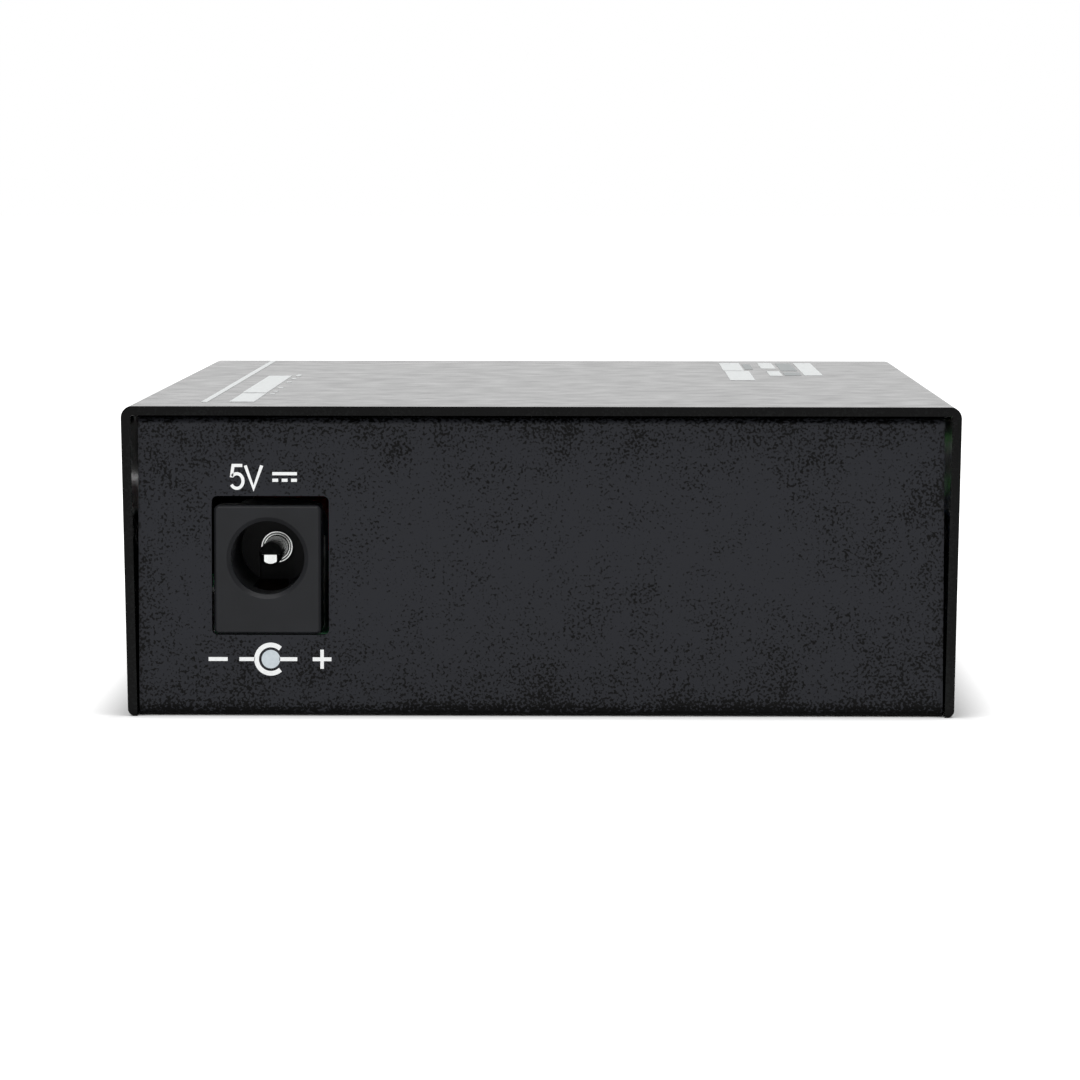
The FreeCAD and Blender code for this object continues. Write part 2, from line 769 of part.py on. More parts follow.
def fibre_housing():
    """Moulded body: a nose with two keyed mouths, and an open tub behind it for the optics."""
    top = board_top + fibre_height
    block_z = (board_top, top)
    body = box(span(fibre_x, fibre_width), (fibre_y(0), fibre_y(fibre_length)), block_z)
    cuts = [
        box(
            span(fibre_x, fibre_width - 2 * fibre_wall),
            (fibre_y(fibre_nose), fibre_y(fibre_length - fibre_wall)),
            (board_top + fibre_wall, top + 1),
        ),
        box(
            span(fibre_x, fibre_width + 2),
            (fibre_y(fibre_nose), fibre_y(fibre_length + 1)),
            (top - fibre_lid, top + 1),
        ),
    ]
    key_width, key_height = fibre_key
    for side in (-1, 1):
        x, z = fibre_axis(side)
        floor = board_top + fibre_floor
        level = (floor, floor + fibre_mouth_height)
        cuts.append(box(span(x, fibre_mouth_width), (fibre_y(-1), fibre_y(fibre_mouth_depth)), level))
        crown = (floor + fibre_mouth_height - 0.5, floor + fibre_mouth_height + key_height)
        cuts.append(box(span(x, key_width), (fibre_y(-1), fibre_y(fibre_mouth_depth)), crown))
        hole = ferrule_sleeve + 2 * seat_gap
        cuts.append(cylinder(hole, (x, fibre_y(fibre_mouth_depth - 1), z), (0, 1, 0), fibre_nose))
    pins_y = fibre_y(fibre_length - fibre_wall - 1.6)
    hole = module_pin + 2 * seat_gap
    for index in range(module_pins):
        x = fibre_x + (index - (module_pins - 1) / 2) * lead_pitch
        cuts.append(box(span(x, hole), span(pins_y, hole), (board_top - 1, top)))
    return body.cut(Part.makeCompound(cuts))


def fibre_module_lid():
    """Pressed lid over the tub."""
    top = board_top + fibre_height
    return box(
        span(fibre_x, fibre_width),
        (fibre_y(fibre_nose) + seat_gap, fibre_y(fibre_length)),
        (top - fibre_lid, top),
    )


def fibre_optics(side):
    """Ferrule sleeve of one channel on its square optics block, with the bore that takes the ferrule."""
    x, z = fibre_axis(side)
    tip = fibre_mouth_depth - sleeve_reach
    width, height, length = optics_block
    front = fibre_nose + seat_gap
    sleeve = cylinder(ferrule_sleeve, (x, fibre_y(tip), z), (0, 1, 0), front - tip)
    block = box(span(x, width), (fibre_y(front), fibre_y(front + length)), span(z, height))
    bore = cylinder(ferrule, (x, fibre_y(tip - 1), z), (0, 1, 0), ferrule_depth + 1)
    return joined(sleeve, block).cut(bore)


def fibre_latches():
    """Four hooks, one at each side of each mouth, that catch the plug's shoulders."""
    hooks = []
    root = fibre_mouth_depth - seat_gap
    front = root - hook_length
    for port in (-1, 1):
        x, z = fibre_axis(port)
        for side in (-1, 1):
            wall = fibre_mouth_width / 2 - seat_gap
            near = wall - hook_thickness
            bite = near - 0.45
            profile = [
                (wall, root),
                (wall, root - 1.2),
                (near + 0.45, root - 2.4),
                (near + 0.45, front),
                (near - 0.1, front),
                (bite, front + 1.4),
                (bite, front + 1.9),
                (near - 0.35, front + 2.2),
                (near - 0.35, root),
            ]
            corners = [(x + side * a, fibre_y(b)) for a, b in profile]
            hooks.append(prism("z", corners, *span(z, hook_height)))
    return hooks


def fibre_module_board():
    """Small board in the tub that the lens cans are wired to."""
    start = fibre_nose + seat_gap + optics_block[2] + 0.4
    half_width = fibre_width / 2 - fibre_wall - 0.3
    level = board_top + fibre_wall + 0.4
    board = box(
        (fibre_x - half_width, fibre_x + half_width),
        (fibre_y(start), fibre_y(fibre_length - fibre_wall - 0.3)),
        (level, level + 1.0),
    )
    pins_y = fibre_y(fibre_length - fibre_wall - 1.6)
    hole = module_pin + 2 * seat_gap
    holes = []
    for index in range(module_pins):
        x = fibre_x + (index - (module_pins - 1) / 2) * lead_pitch
        holes.append(box(span(x, hole), span(pins_y, hole), (level - 1, level + 2)))
    return board.cut(Part.makeCompound(holes))


def fibre_module_pins():
    """Nine square pins in a row, from the module's own board down through the main board."""
    pins_y = fibre_y(fibre_length - fibre_wall - 1.6)
    top = board_top + fibre_wall + 1.9
    pins = []
    for index in range(module_pins):
        x = fibre_x + (index - (module_pins - 1) / 2) * lead_pitch
        pins.append(box(span(x, module_pin), span(pins_y, module_pin), (board_under - lead_stub, top)))
    return pins


# ================================================================ status lamps
def lamp_place(column, row):
    """(x, z) of one lamp's axis."""
    x = lamp_x + (column - (lamp_columns - 1) / 2) * lamp_column_pitch
    return x, board_top + lamp_floor + lamp_row_pitch * (row + 0.5)


def lamp_back_y():
    """Back of a lamp's moulded body."""
    return -panel_y - lamp_proud + lamp_length


def lamp_holder():
    """Moulded block that holds the lamps square behind their holes."""
    front = -panel_y + sheet + seat_gap
    low = front + lamp_length - sheet
    back = front + lamp_holder_depth
    x = span(lamp_x, lamp_holder_width)
    top = board_top + lamp_rows * lamp_row_pitch + 2 * lamp_floor
    foot = board_top + lamp_holder_foot
    # Tall at the front where it carries the lamps, low behind where it only spaces their leads.
    side = [(front, board_top), (back, board_top), (back, foot), (low, foot), (low, top), (front, top)]
    body = prism("x", side, *x)
    cuts = []
    for column in range(lamp_columns):
        for row in range(lamp_rows):
            lamp_at_x, lamp_at_z = lamp_place(column, row)
            width, height = (size + 2 * seat_gap for size in lamp)
            cuts.append(box(span(lamp_at_x, width), (front - 1, back + 1), span(lamp_at_z, height)))
            for lead_x, lead_y, _ in lamp_leads_of(column, row):
                hole = lamp_lead + 0.2
                cuts.append(box(span(lead_x, hole), span(lead_y, hole), (board_top - 1, lamp_at_z)))
    return body.cut(Part.makeCompound(cuts))


def status_lamps():
    """Six rectangular lamps with softened lens edges."""
    lamps = []
    width, height = lamp
    front, back = -panel_y - lamp_proud, lamp_back_y()
    for column in range(lamp_columns):
        for row in range(lamp_rows):
            x, z = lamp_place(column, row)
            body = box(span(x, width), (front, back), span(z, height))
            lens_edges = [e for e in body.Edges if e.BoundBox.YMax < front + 1e-6]
            lamps.append(body.makeChamfer(0.25, lens_edges))
    return lamps


def lamp_leads_of(column, row):
    """(x, y, z) where the two leads of one lamp turn down; higher lamps turn further back."""
    x, z = lamp_place(column, row)
    turn_y = lamp_back_y() + lamp_lead_turn + row * lamp_lead_step
    half = lamp_lead_spacing / 2
    return [(x - half, turn_y, z), (x + half, turn_y, z)]


def lamp_leads():
    """Two bent leads to each lamp, down through the board."""
    leads = []
    for column in range(lamp_columns):
        for row in range(lamp_rows):
            for x, y, z in lamp_leads_of(column, row):
                path = [(lamp_back_y(), z), (y, z), (y, board_under - lead_stub)]
                leads.append(prism("x", ribbon(path, lamp_lead), *span(x, lamp_lead)))
    return leads


# ================================================================ setting switches
def switch_slot_x(index):
    return switch_x + (index - (switch_count - 1) / 2) * lead_pitch


def switch_rest_z():
    """Middle of a knob in its lower, resting place."""
    return board_top + switch_height / 2 - switch_travel / 2


def switch_housing():
    """Moulded block with one slotted, undercut well for each knob."""
    face = -panel_y
    level = (board_top, board_top + switch_height)
    body = box(span(switch_x, switch_width), (face, face + switch_depth), level)
    body = body.makeChamfer(0.2, [e for e in body.Edges if e.BoundBox.YMax < face + 1e-6])
    cuts = []
    middle = board_top + switch_height / 2
    for index in range(switch_count):
        x = switch_slot_x(index)
        knob_width, knob_height = switch_knob
        foot_width, foot_height = switch_foot
        spare = switch_travel + 2 * switch_clearance
        cuts.append(
            box(
                span(x, knob_width + 2 * switch_clearance),
                (face - 1, face + switch_lip + 0.1),
                span(middle, knob_height + spare),
            )
        )
        well = (face + switch_lip, face + switch_lip + switch_foot_thickness + 2 * switch_clearance)
        cuts.append(box(span(x, foot_width + 2 * switch_clearance), well, span(middle, foot_height + spare)))
        for row_y in switch_terminal_rows():
            cuts.append(
                box(
                    span(x, switch_blade[0] + 2 * seat_gap),
                    span(row_y, switch_blade[1] + 2 * seat_gap),
                    (board_top - 1, board_top + switch_blade_rise + free_clearance),
                )
            )
    return body.cut(Part.makeCompound(cuts))


def switch_terminal_rows():
    """Y of the two rows of terminals."""
    front = -panel_y + switch_lip + switch_foot_thickness + 2 * switch_clearance + 0.8
    return front, -panel_y + switch_depth - 0.6


def switch_slider(index):
    """One sliding knob on its foot, in the lower place."""
    face = -panel_y
    x = switch_slot_x(index)
    z = switch_rest_z()
    knob_width, knob_height = switch_knob
    foot_width, foot_height = switch_foot
    foot_front = face + switch_lip + switch_clearance
    tip = face - switch_knob_proud
    knob = box(span(x, knob_width), (tip, foot_front), span(z, knob_height))
    knob = knob.makeChamfer(0.15, [e for e in knob.Edges if e.BoundBox.YMax < tip + 1e-6])
    foot = box(span(x, foot_width), (foot_front, foot_front + switch_foot_thickness), span(z, foot_height))
    return joined(knob, foot)


def switch_terminals():
    """Two rows of blades, down through the board."""
    blades = []
    for index in range(switch_count):
        for row_y in switch_terminal_rows():
            x = switch_slot_x(index)
            width, thickness = switch_blade
            level = (board_under - lead_stub, board_top + switch_blade_rise)
            blades.append(box(span(x, width), span(row_y, thickness), level))
    return blades


# ================================================================ board and small components
transformer_at = (lan_x, port_face + lan_length + part_gap + transformer_size[1] / 2)
chip_at = (lan_x - 4.0, transformer_at[1] + transformer_size[1] / 2 + 2 * part_gap + chip_size[1] / 2)
crystal_at = (chip_at[0] - chip_size[0] / 2 - part_gap - crystal_size[0] / 2, chip_at[1])
memory_at = (crystal_at[0], crystal_at[1] + crystal_size[1] / 2 + part_gap + memory_size[1] / 2 + 1)
inductor_at = (
    inlet_x - inlet_width / 2 - part_gap - inductor_size[0] / 2,
    board_end - 1.5 * part_gap - inductor_size[1] / 2,
)
capacitor_places = [
    (inductor_at[0] - inductor_size[0] / 2 - part_gap - capacitor_diameter / 2, inductor_at[1] + 1),
    (inductor_at[0] - inductor_size[0] / 2 - 2 * part_gap - 1.5 * capacitor_diameter, inductor_at[1] + 1),
]
regulator_at = (
    inductor_at[0],
    inductor_at[1] - inductor_size[1] / 2 - 1.5 * part_gap - regulator_size[1] / 2,
)
fuse_at = (inlet_x, inlet_back - contact_sheet - part_gap - fuse_size[1] / 2)


def seated_block(size, place):
    """A block standing on the board."""
    x, y = place
    width, depth, height = size
    return box(span(x, width), span(y, depth), (board_top + seat_gap, board_top + height))


def main_board():
    """Glass-fibre board with its screw holes and a hole for each lead."""
    board = box((-board_half, board_half), (-board_end, board_end), (board_under, board_top))
    cuts = []
    through = (board_under - 1, board_top + 1)
    for x, y in board_screw_places:
        hole = thread + 2 * free_clearance
        cuts.append(cylinder(hole, (x, y, through[0]), (0, 0, 1), through[1] - through[0]))
    leads = (
        lan_contact_leaves()
        + fibre_module_pins()
        + lamp_leads()
        + switch_terminals()
        + capacitor_leads()
        + [inlet_pin_terminal(), inlet_sleeve_spring(), inlet_shunt_contact()]
    )
    level = (board_under - 0.01, board_top + 0.01)
    for lead in leads:
        neck = lead.common(box((-board_half, board_half), (-board_end, board_end), level)).BoundBox
        cuts.append(
            box(
                (neck.XMin - solder_clearance, neck.XMax + solder_clearance),
                (neck.YMin - solder_clearance, neck.YMax + solder_clearance),
                through,
            )
        )
    return board.cut(Part.makeCompound(cuts))


def gull_leads(size, place, per_side, pitch, foot):
    """Two rows of gull-wing leads along the long sides of a moulded package."""
    x, y = place
    width, depth, height = size
    leads = []
    mid = board_top + height / 2
    low = board_top + gull_lead[1] / 2
    for side in (-1, 1):
        wall = y + side * depth / 2
        path = [
            (wall, mid),
            (wall + side * foot * 0.4, mid),
            (wall + side * foot * 0.55, low),
            (wall + side * foot, low),
        ]
        outline_of = ribbon(path, gull_lead[1])
        for index in range(per_side):
            middle = x + (index - (per_side - 1) / 2) * pitch
            leads.append(prism("x", outline_of, *span(middle, gull_lead[0])))
    return leads


def transformer_leads():
    return gull_leads(transformer_size, transformer_at, 8, transformer_lead_pitch, transformer_lead_foot)


def memory_leads():
    return gull_leads(memory_size, memory_at, 4, memory_lead_pitch, memory_lead_foot)


def crystal_can():
    """Pressed can with round ends."""
    width, depth, height = crystal_size
    corners = rectangle(span(crystal_at[0], width), span(crystal_at[1], depth), depth * 0.49)
    return prism("z", corners, board_top + seat_gap, board_top + height)


def power_inductor():
    """Shielded inductor: a square ferrite block with cut corners and a round core on top."""
    x, y = inductor_at
    width, depth, height = inductor_size
    block = seated_block((width, depth, height * 0.9), inductor_at)
    return joined(block, cylinder(width * 0.8, (x, y, board_top + height * 0.5), (0, 0, 1), height * 0.5))


def capacitor_can(place):
    """Electrolytic can, standing on the board."""
    return cylinder(capacitor_diameter, (*place, board_top + seat_gap), (0, 0, 1), capacitor_height)


def capacitor_leads():
    """Two leads below each can."""
    leads = []
    for x, y in capacitor_places:
        for side in (-1, 1):
            across = span(x + side * capacitor_lead_pitch / 2, lead_thickness)
            level = (board_under - lead_stub, board_top + seat_gap)
            leads.append(box(across, span(y, lead_thickness), level))
    return leads


def voltage_regulator():
    """Power package with a wide tab on one side and three legs on the other."""
    x, y = regulator_at
    depth = regulator_size[1]
    body = seated_block(regulator_size, regulator_at)
    leg_width, leg_reach, leg_thickness = regulator_leg
    low = (board_top, board_top + leg_thickness)
    tab = box(span(x, regulator_tab), (y, y + depth / 2 + leg_reach), low)
    legs = []
    for index in (-1, 0, 1):
        middle = x + index * regulator_leg_pitch
        legs.append(box(span(middle, leg_width), (y - depth / 2 - leg_reach, y), low))
    return joined(body, tab, *legs)


def chip_row(first_x, y, pitch, count, size):
    """A row of small end-capped chips, side by side along X."""
    return [seated_block(size, (first_x + index * pitch, y)) for index in range(count)]


def chip_resistors():
    """Two rows of five beside the converter chip and one row of six behind the fibre port."""
    beside_chip = chip_at[0] + chip_size[0] / 2 + part_gap
    behind_fibre = fibre_y(fibre_length) + part_gap
    rows = chip_row(beside_chip, chip_at[1] - chip_size[1] / 3, small_pitch, 5, resistor_size)
    rows += chip_row(beside_chip, chip_at[1], small_pitch, 5, resistor_size)
    rows += chip_row(fibre_x - fibre_width / 2 + part_gap, behind_fibre, small_pitch, 6, resistor_size)
    return rows


def chip_capacitors():
    """One row above the converter chip and one behind the resistors of the fibre port."""
    above_chip = chip_at[1] + chip_size[1] / 2 + part_gap
    behind_resistors = fibre_y(fibre_length) + 2 * part_gap + ceramic_size[1] / 2
    rows = chip_row(chip_at[0] - chip_size[0] / 3, above_chip, ceramic_pitch, 5, ceramic_size)
    rows += chip_row(fibre_x - fibre_width / 2 + part_gap, behind_resistors, ceramic_pitch, 4, ceramic_size)
    return rows


# ================================================================ the whole part
def nodes():
    """Every node's name and its solid or solids."""
    made = {
        "top_cover": [top_cover()],
        "base_tray": [base_tray()],
        "cover_screws": at_cover_screws(cover_screw),
        "board_standoffs": board_standoffs(),
        "board_screws": board_screws(),
        "main_board": [main_board()],
        "inlet_body": [inlet_body()],
        "inlet_centre_pin": [inlet_centre_pin()],
        "inlet_pin_terminal": [inlet_pin_terminal()],
        "inlet_sleeve_spring": [inlet_sleeve_spring()],
        "inlet_shunt_contact": [inlet_shunt_contact()],
        "lan_housing": [lan_housing()],
        "lan_shield": [lan_shield_can()],
        "lan_contacts": lan_contact_leaves(),
        "lan_link_lamp": [lan_led(-1)],
        "lan_speed_lamp": [lan_led(1)],
        "fibre_housing": [fibre_housing()],
        "fibre_module_lid": [fibre_module_lid()],
        "fibre_transmit_optics": [fibre_optics(-1)],
        "fibre_receive_optics": [fibre_optics(1)],
        "fibre_latches": fibre_latches(),
        "fibre_module_board": [fibre_module_board()],
        "fibre_module_pins": fibre_module_pins(),
        "lamp_holder": [lamp_holder()],
        "status_lamps": status_lamps(),
        "lamp_leads": lamp_leads(),
        "switch_housing": [switch_housing()],
        "switch_terminals": switch_terminals(),
        "lan_transformer": [seated_block(transformer_size, transformer_at)],
        "lan_transformer_leads": transformer_leads(),
        "converter_chip": [seated_block(chip_size, chip_at)],
        "crystal_can": [crystal_can()],
        "settings_memory": [seated_block(memory_size, memory_at)],
        "settings_memory_leads": memory_leads(),
        "power_inductor": [power_inductor()],
        "capacitor_cans": [capacitor_can(place) for place in capacitor_places],
        "capacitor_leads": capacitor_leads(),
        "voltage_regulator": [voltage_regulator()],
        "input_fuse": [seated_block(fuse_size, fuse_at)],
        "chip_resistors": chip_resistors(),
        "chip_capacitors": chip_capacitors(),
    }
    for index in range(switch_count):
        made[f"switch_slider_{index + 1}"] = [switch_slider(index)]
    return made


def main():
    os.makedirs("parts", exist_ok=True)
    for name, solids in nodes().items():
        whole = Part.makeCompound(solids) if len(solids) > 1 else solids[0]
        whole.exportStep(os.path.join("parts", name + ".step"))
        print(name, len(whole.Solids), round(whole.Volume, 2), whole.isValid())


main()
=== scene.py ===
# %% [markdown]
# # A fibre media converter, dressed for the studio
# The real thing is a palm-sized steel box: a folded cover over a folded tray, with one circuit
# board inside. The solids come ready made, in metres, in one shared frame, so this lesson never
# asks where a piece goes. It only asks what each piece is made of, how its edges catch the light,
# and how the room is lit. We load the solids first and keep their outer box for later.

# %% Load the frame
import json
import math

import bmesh
import bpy
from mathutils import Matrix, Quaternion, Vector


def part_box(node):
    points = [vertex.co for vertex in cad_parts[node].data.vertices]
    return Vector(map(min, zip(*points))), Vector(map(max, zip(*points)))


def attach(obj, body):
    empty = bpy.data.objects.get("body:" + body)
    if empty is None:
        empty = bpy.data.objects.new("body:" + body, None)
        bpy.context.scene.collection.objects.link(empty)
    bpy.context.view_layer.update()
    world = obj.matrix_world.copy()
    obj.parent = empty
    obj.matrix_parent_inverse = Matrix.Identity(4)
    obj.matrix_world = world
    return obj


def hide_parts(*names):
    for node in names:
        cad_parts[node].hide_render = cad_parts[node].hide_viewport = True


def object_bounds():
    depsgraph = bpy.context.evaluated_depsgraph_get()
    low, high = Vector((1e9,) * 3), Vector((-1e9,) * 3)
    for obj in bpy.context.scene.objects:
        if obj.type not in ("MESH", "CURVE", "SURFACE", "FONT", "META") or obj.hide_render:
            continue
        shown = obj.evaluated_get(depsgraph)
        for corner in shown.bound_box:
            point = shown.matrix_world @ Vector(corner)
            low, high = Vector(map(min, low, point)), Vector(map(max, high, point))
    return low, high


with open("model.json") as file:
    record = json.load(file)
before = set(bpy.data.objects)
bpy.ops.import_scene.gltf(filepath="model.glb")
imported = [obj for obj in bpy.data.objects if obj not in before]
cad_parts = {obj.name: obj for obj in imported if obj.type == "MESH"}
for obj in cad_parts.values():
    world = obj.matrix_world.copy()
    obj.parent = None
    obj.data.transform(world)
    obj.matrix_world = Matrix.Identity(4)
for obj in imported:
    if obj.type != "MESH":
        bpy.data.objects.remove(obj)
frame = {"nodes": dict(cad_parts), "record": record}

MM = 0.001
cad_low, cad_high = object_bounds()
print("solids:", len(frame["nodes"]), "size in mm:", [round(v / MM, 2) for v in cad_high - cad_low])

# %% [markdown]
# ## Colours
# A colour picker shows sRGB, but a renderer adds up light, which needs linear numbers. We write
# every colour as the familiar hex code and turn it to linear in one place.

# %% Hex colours to linear light
def linear(hex_code):
    """'#rrggbb' as a linear (r, g, b, 1)."""
    channels = [int(hex_code[i : i + 2], 16) / 255 for i in (1, 3, 5)]
    return (*[c / 12.92 if c <= 0.04045 else ((c + 0.055) / 1.055) ** 2.4 for c in channels], 1.0)


print("mid grey in linear light:", round(linear("#808080")[0], 3))

# %% [markdown]
# ## Wiring a material
# A procedural material is a small graph. Each step adds one node, sets its options and feeds its
# inputs, so one function is enough for all of them: an input is given either a plain value or the
# output of an earlier node, which becomes a link.

# %% Add a node, do a sum, start a finish
def add(tree, kind, inputs=None, **options):
    """Adds one node to a tree, sets its options, and sets or links its inputs."""
    node = tree.nodes.new(kind)
    for option, value in options.items():
        setattr(node, option, value)
    for socket, value in (inputs or {}).items():
        if isinstance(value, bpy.types.NodeSocket):
            tree.links.new(value, node.inputs[socket])
        else:
            node.inputs[socket].default_value = value
    return node


def calculate(tree, operation, *values):
    """One step of arithmetic on plain values or outputs: the result's output."""
    return add(tree, "ShaderNodeMath", dict(enumerate(values)), operation=operation).outputs["Value"]


def start_finish(name, shader_inputs):
    """A new material with a Principled shader: returns the material, its tree and the shader."""
    material = bpy.data.materials.new(name)
    material.use_nodes = True
    tree = material.node_tree
    shader = tree.nodes["Principled BSDF"]
    for socket, value in shader_inputs.items():
        shader.inputs[socket].default_value = value
    return material, tree, shader


def grain(tree, size_mm, detail=2.0, roughness=0.5):
    """Noise whose lumps are about size_mm across, read in real millimetres from the mesh itself."""
    place = add(tree, "ShaderNodeTexCoord")
    return add(
        tree,
        "ShaderNodeTexNoise",
        {
            "Vector": place.outputs["Object"],
            "Scale": 1 / (size_mm * MM),
            "Detail": detail,
            "Roughness": roughness,
        },
    )


def spread(tree, value, low, high):
    """Stretches a noise value, which mostly lies between 0.3 and 0.7, over low to high."""
    return add(
        tree,
        "ShaderNodeMapRange",
        {"Value": value, "From Min": 0.3, "From Max": 0.7, "To Min": low, "To Max": high},
    ).outputs["Result"]


def tint(tree, value, dark, light):
    """A colour between two hex codes, chosen by a value from 0 to 1."""
    return add(
        tree,
        "ShaderNodeMix",
        {"Factor": value, 6: linear(dark), 7: linear(light)},
        data_type="RGBA",
    ).outputs[2]


def bump(tree, height, depth_mm, strength=1.0):
    """A surface normal that is tilted by a height from 0 to 1, worth depth_mm in all."""
    return add(
        tree,
        "ShaderNodeBump",
        {"Height": height, "Distance": depth_mm * MM, "Strength": strength},
    ).outputs["Normal"]


# %% [markdown]
# ## Black powder coat on steel sheet
# Both folded sheets are powder coated: polyester dust is sprayed on dry and baked, and it melts
# into a skin about 0.08 mm thick. It never flows quite flat, so the eye sees soft lumps and black
# pits. Towards the sheet's sides, foot and top the pits crowd in, most of all over the folds: that
# is painted shade, the dark that the folds and edges lie in, drawn into the coat's colour. Seen
# square on it swallows light. At a flat angle the same skin is a dull mirror, which is why the top
# of the box looks silver in a bright room while its back stays black. Real pits are under 0.1 mm
# and are drawn at 0.24 mm, so that they show.

# %% Powder-coated steel
EDGE_SHADE_REACH = 9 * MM  # painted shade: the pits crowd in this far from an edge
FOLD_SHADE_REACH = 1.6 * MM  # and crowd in most this close to the fold itself, as painted shade


def shade_near_edges(tree, half_width, low, high, reach):
    """The painted shade's mask: 0 in the middle of an upright sheet, rising to 1 at its sides, foot and
    top. In metres.
    """
    place = add(tree, "ShaderNodeTexCoord").outputs["Object"]
    sides = add(tree, "ShaderNodeSeparateXYZ", {"Vector": place})
    across = calculate(tree, "ABSOLUTE", sides.outputs["X"])
    worst = 0.0
    for value, start, end in (
        (across, half_width - reach, half_width),
        (sides.outputs["Z"], low + reach, low),
        (sides.outputs["Z"], high - reach, high),
    ):
        edge = add(tree, "ShaderNodeMapRange", {"Value": value, "From Min": start, "From Max": end})
        worst = calculate(tree, "MAXIMUM", edge.outputs["Result"], worst)
    return worst


def powder_coated_steel(name, pit, skin, roughness, gloss, pitted):
    """A matt black skin. The pits are the places where a fine noise stays under pitted, which is raised
    near the edges and folds as painted shade.
    """
    material, tree, shader = start_finish(name, {"IOR": 1.5, "Specular IOR Level": gloss})
    tooth = grain(tree, 0.35, detail=2.0).outputs["Fac"]
    lumps = grain(tree, 3.0, detail=3.0).outputs["Fac"]
    pits = grain(tree, 0.24, detail=3.0, roughness=0.6).outputs["Fac"]
    patches = grain(tree, 4.0, detail=6.0, roughness=0.7).outputs["Fac"]
    # Painted shade: more pits near the sheet's sides, foot and top, and most near its folds, so those
    # bands render darker.
    thin = shade_near_edges(tree, cad_high.x, cad_low.z, cad_high.z, EDGE_SHADE_REACH)
    fold_shade = shade_near_edges(tree, cad_high.x, cad_low.z, cad_high.z, FOLD_SHADE_REACH)
    some = calculate(tree, "MULTIPLY_ADD", thin, 0.08, pitted)
    pits_and_shade = calculate(tree, "MULTIPLY_ADD", fold_shade, 0.2, some)
    patchy = spread(tree, patches, -0.09, 0.09)
    reach = calculate(tree, "ADD", pits_and_shade, patchy)
    above = calculate(tree, "SUBTRACT", pits, reach)
    clear = add(
        tree, "ShaderNodeMapRange", {"Value": above, "From Min": -0.02, "From Max": 0.04}
    ).outputs["Result"]
    tree.links.new(tint(tree, clear, pit, skin), shader.inputs["Base Color"])
    tree.links.new(spread(tree, lumps, roughness - 0.03, roughness + 0.03), shader.inputs["Roughness"])
    tree.links.new(bump(tree, tooth, 0.012, 0.45), shader.inputs["Normal"])
    return material


cover_coat = powder_coated_steel("powder_coated_steel_cover", "#020202", "#0c0d0d", 0.17, 0.085, 0.36)
tray_coat = powder_coated_steel("powder_coated_steel_tray", "#040404", "#292a2e", 0.34, 0.08, 0.38)
print("coats:", cover_coat.name, tray_coat.name)

# %% [markdown]
# ## Moulded plastics
# The inlet, the sockets and the switch are injection moulded. The mould's walls are spark eroded,
# so the part comes out with a fine matt pebble about 0.1 mm across and no paint. One recipe serves
# them all: only the colour and the gloss change. The pebble is drawn at 0.18 mm so that it shows.

# %% Moulded nylon and polyester
def moulded_plastic(name, dark, light, roughness, ior=1.53, gloss=0.5, depth_mm=0.006):
    """Two close shades that follow the melt's flow, under a fine pebble that breaks up the shine."""
    material, tree, shader = start_finish(name, {"IOR": ior, "Specular IOR Level": gloss})
    pebble = grain(tree, 0.18, detail=1.5).outputs["Fac"]
    flow = grain(tree, 5.0, detail=2.0).outputs["Fac"]
    tree.links.new(tint(tree, spread(tree, flow, 0.0, 1.0), dark, light), shader.inputs["Base Color"])
    tree.links.new(spread(tree, pebble, roughness - 0.04, roughness + 0.06), shader.inputs["Roughness"])
    tree.links.new(bump(tree, pebble, depth_mm, 0.5), shader.inputs["Normal"])
    return material


# The dull nylon keeps the inlet quiet, so that the bright pin in it is what the eye finds.
black_nylon = moulded_plastic("moulded_black_nylon", "#151618", "#1d1e21", 0.42, gloss=0.16)
# Polyester is harder and a little glossier, and its colours stay clean.
blue_polyester = moulded_plastic("moulded_blue_polyester", "#12489a", "#1a56ad", 0.38)
cream_polyester = moulded_plastic("moulded_cream_polyester", "#cfc7a8", "#ddd6ba", 0.40)
red_polyester = moulded_plastic("moulded_red_polyester", "#9e1712", "#b3201a", 0.36)
white_nylon = moulded_plastic("moulded_white_nylon", "#dcdcd6", "#ecece6", 0.38)
# Chips, cores and resistors inside are duller than any moulding: they read as powder, not plastic.
black_epoxy = moulded_plastic("moulded_black_epoxy", "#141414", "#1e1e1e", 0.55)
fired_ferrite = moulded_plastic("fired_ferrite", "#26272a", "#36373b", 0.62)
fired_ceramic = moulded_plastic("fired_ceramic", "#8d7350", "#a58a63", 0.45)

# %% [markdown]
# ## Plated metals
# Contacts, screws and shields are plated. A metal's colour is the colour of its mirror image, so
# Metallic is 1, the base colour is the plating's own, and the IOR keeps its default. Drawn wire
# and rolled strip carry hair-fine marks along their length, which blur the mirror one way.

# %% Plated and bare metals
def plated_metal(name, dark, light, roughness, mark_mm=0.12, stretch=(1.0, 1.0, 1.0)):
    """A metal with fine marks mark_mm across. A small stretch along an axis draws them out along it."""
    material, tree, shader = start_finish(name, {"Metallic": 1.0})
    place = add(tree, "ShaderNodeTexCoord").outputs["Object"]
    drawn = add(tree, "ShaderNodeMapping", {"Vector": place, "Scale": stretch}).outputs["Vector"]
    marks = add(
        tree,
        "ShaderNodeTexNoise",
        {"Vector": drawn, "Scale": 1 / (mark_mm * MM), "Detail": 2.0},
    ).outputs["Fac"]
    cloud = grain(tree, 1.8, detail=2.0).outputs["Fac"]
    tree.links.new(tint(tree, spread(tree, cloud, 0.0, 1.0), dark, light), shader.inputs["Base Color"])
    tree.links.new(spread(tree, marks, roughness - 0.06, roughness + 0.08), shader.inputs["Roughness"])
    tree.links.new(bump(tree, marks, 0.002, 0.35), shader.inputs["Normal"])
    return material


along_depth = (1.0, 0.08, 1.0)
along_height = (1.0, 1.0, 0.1)
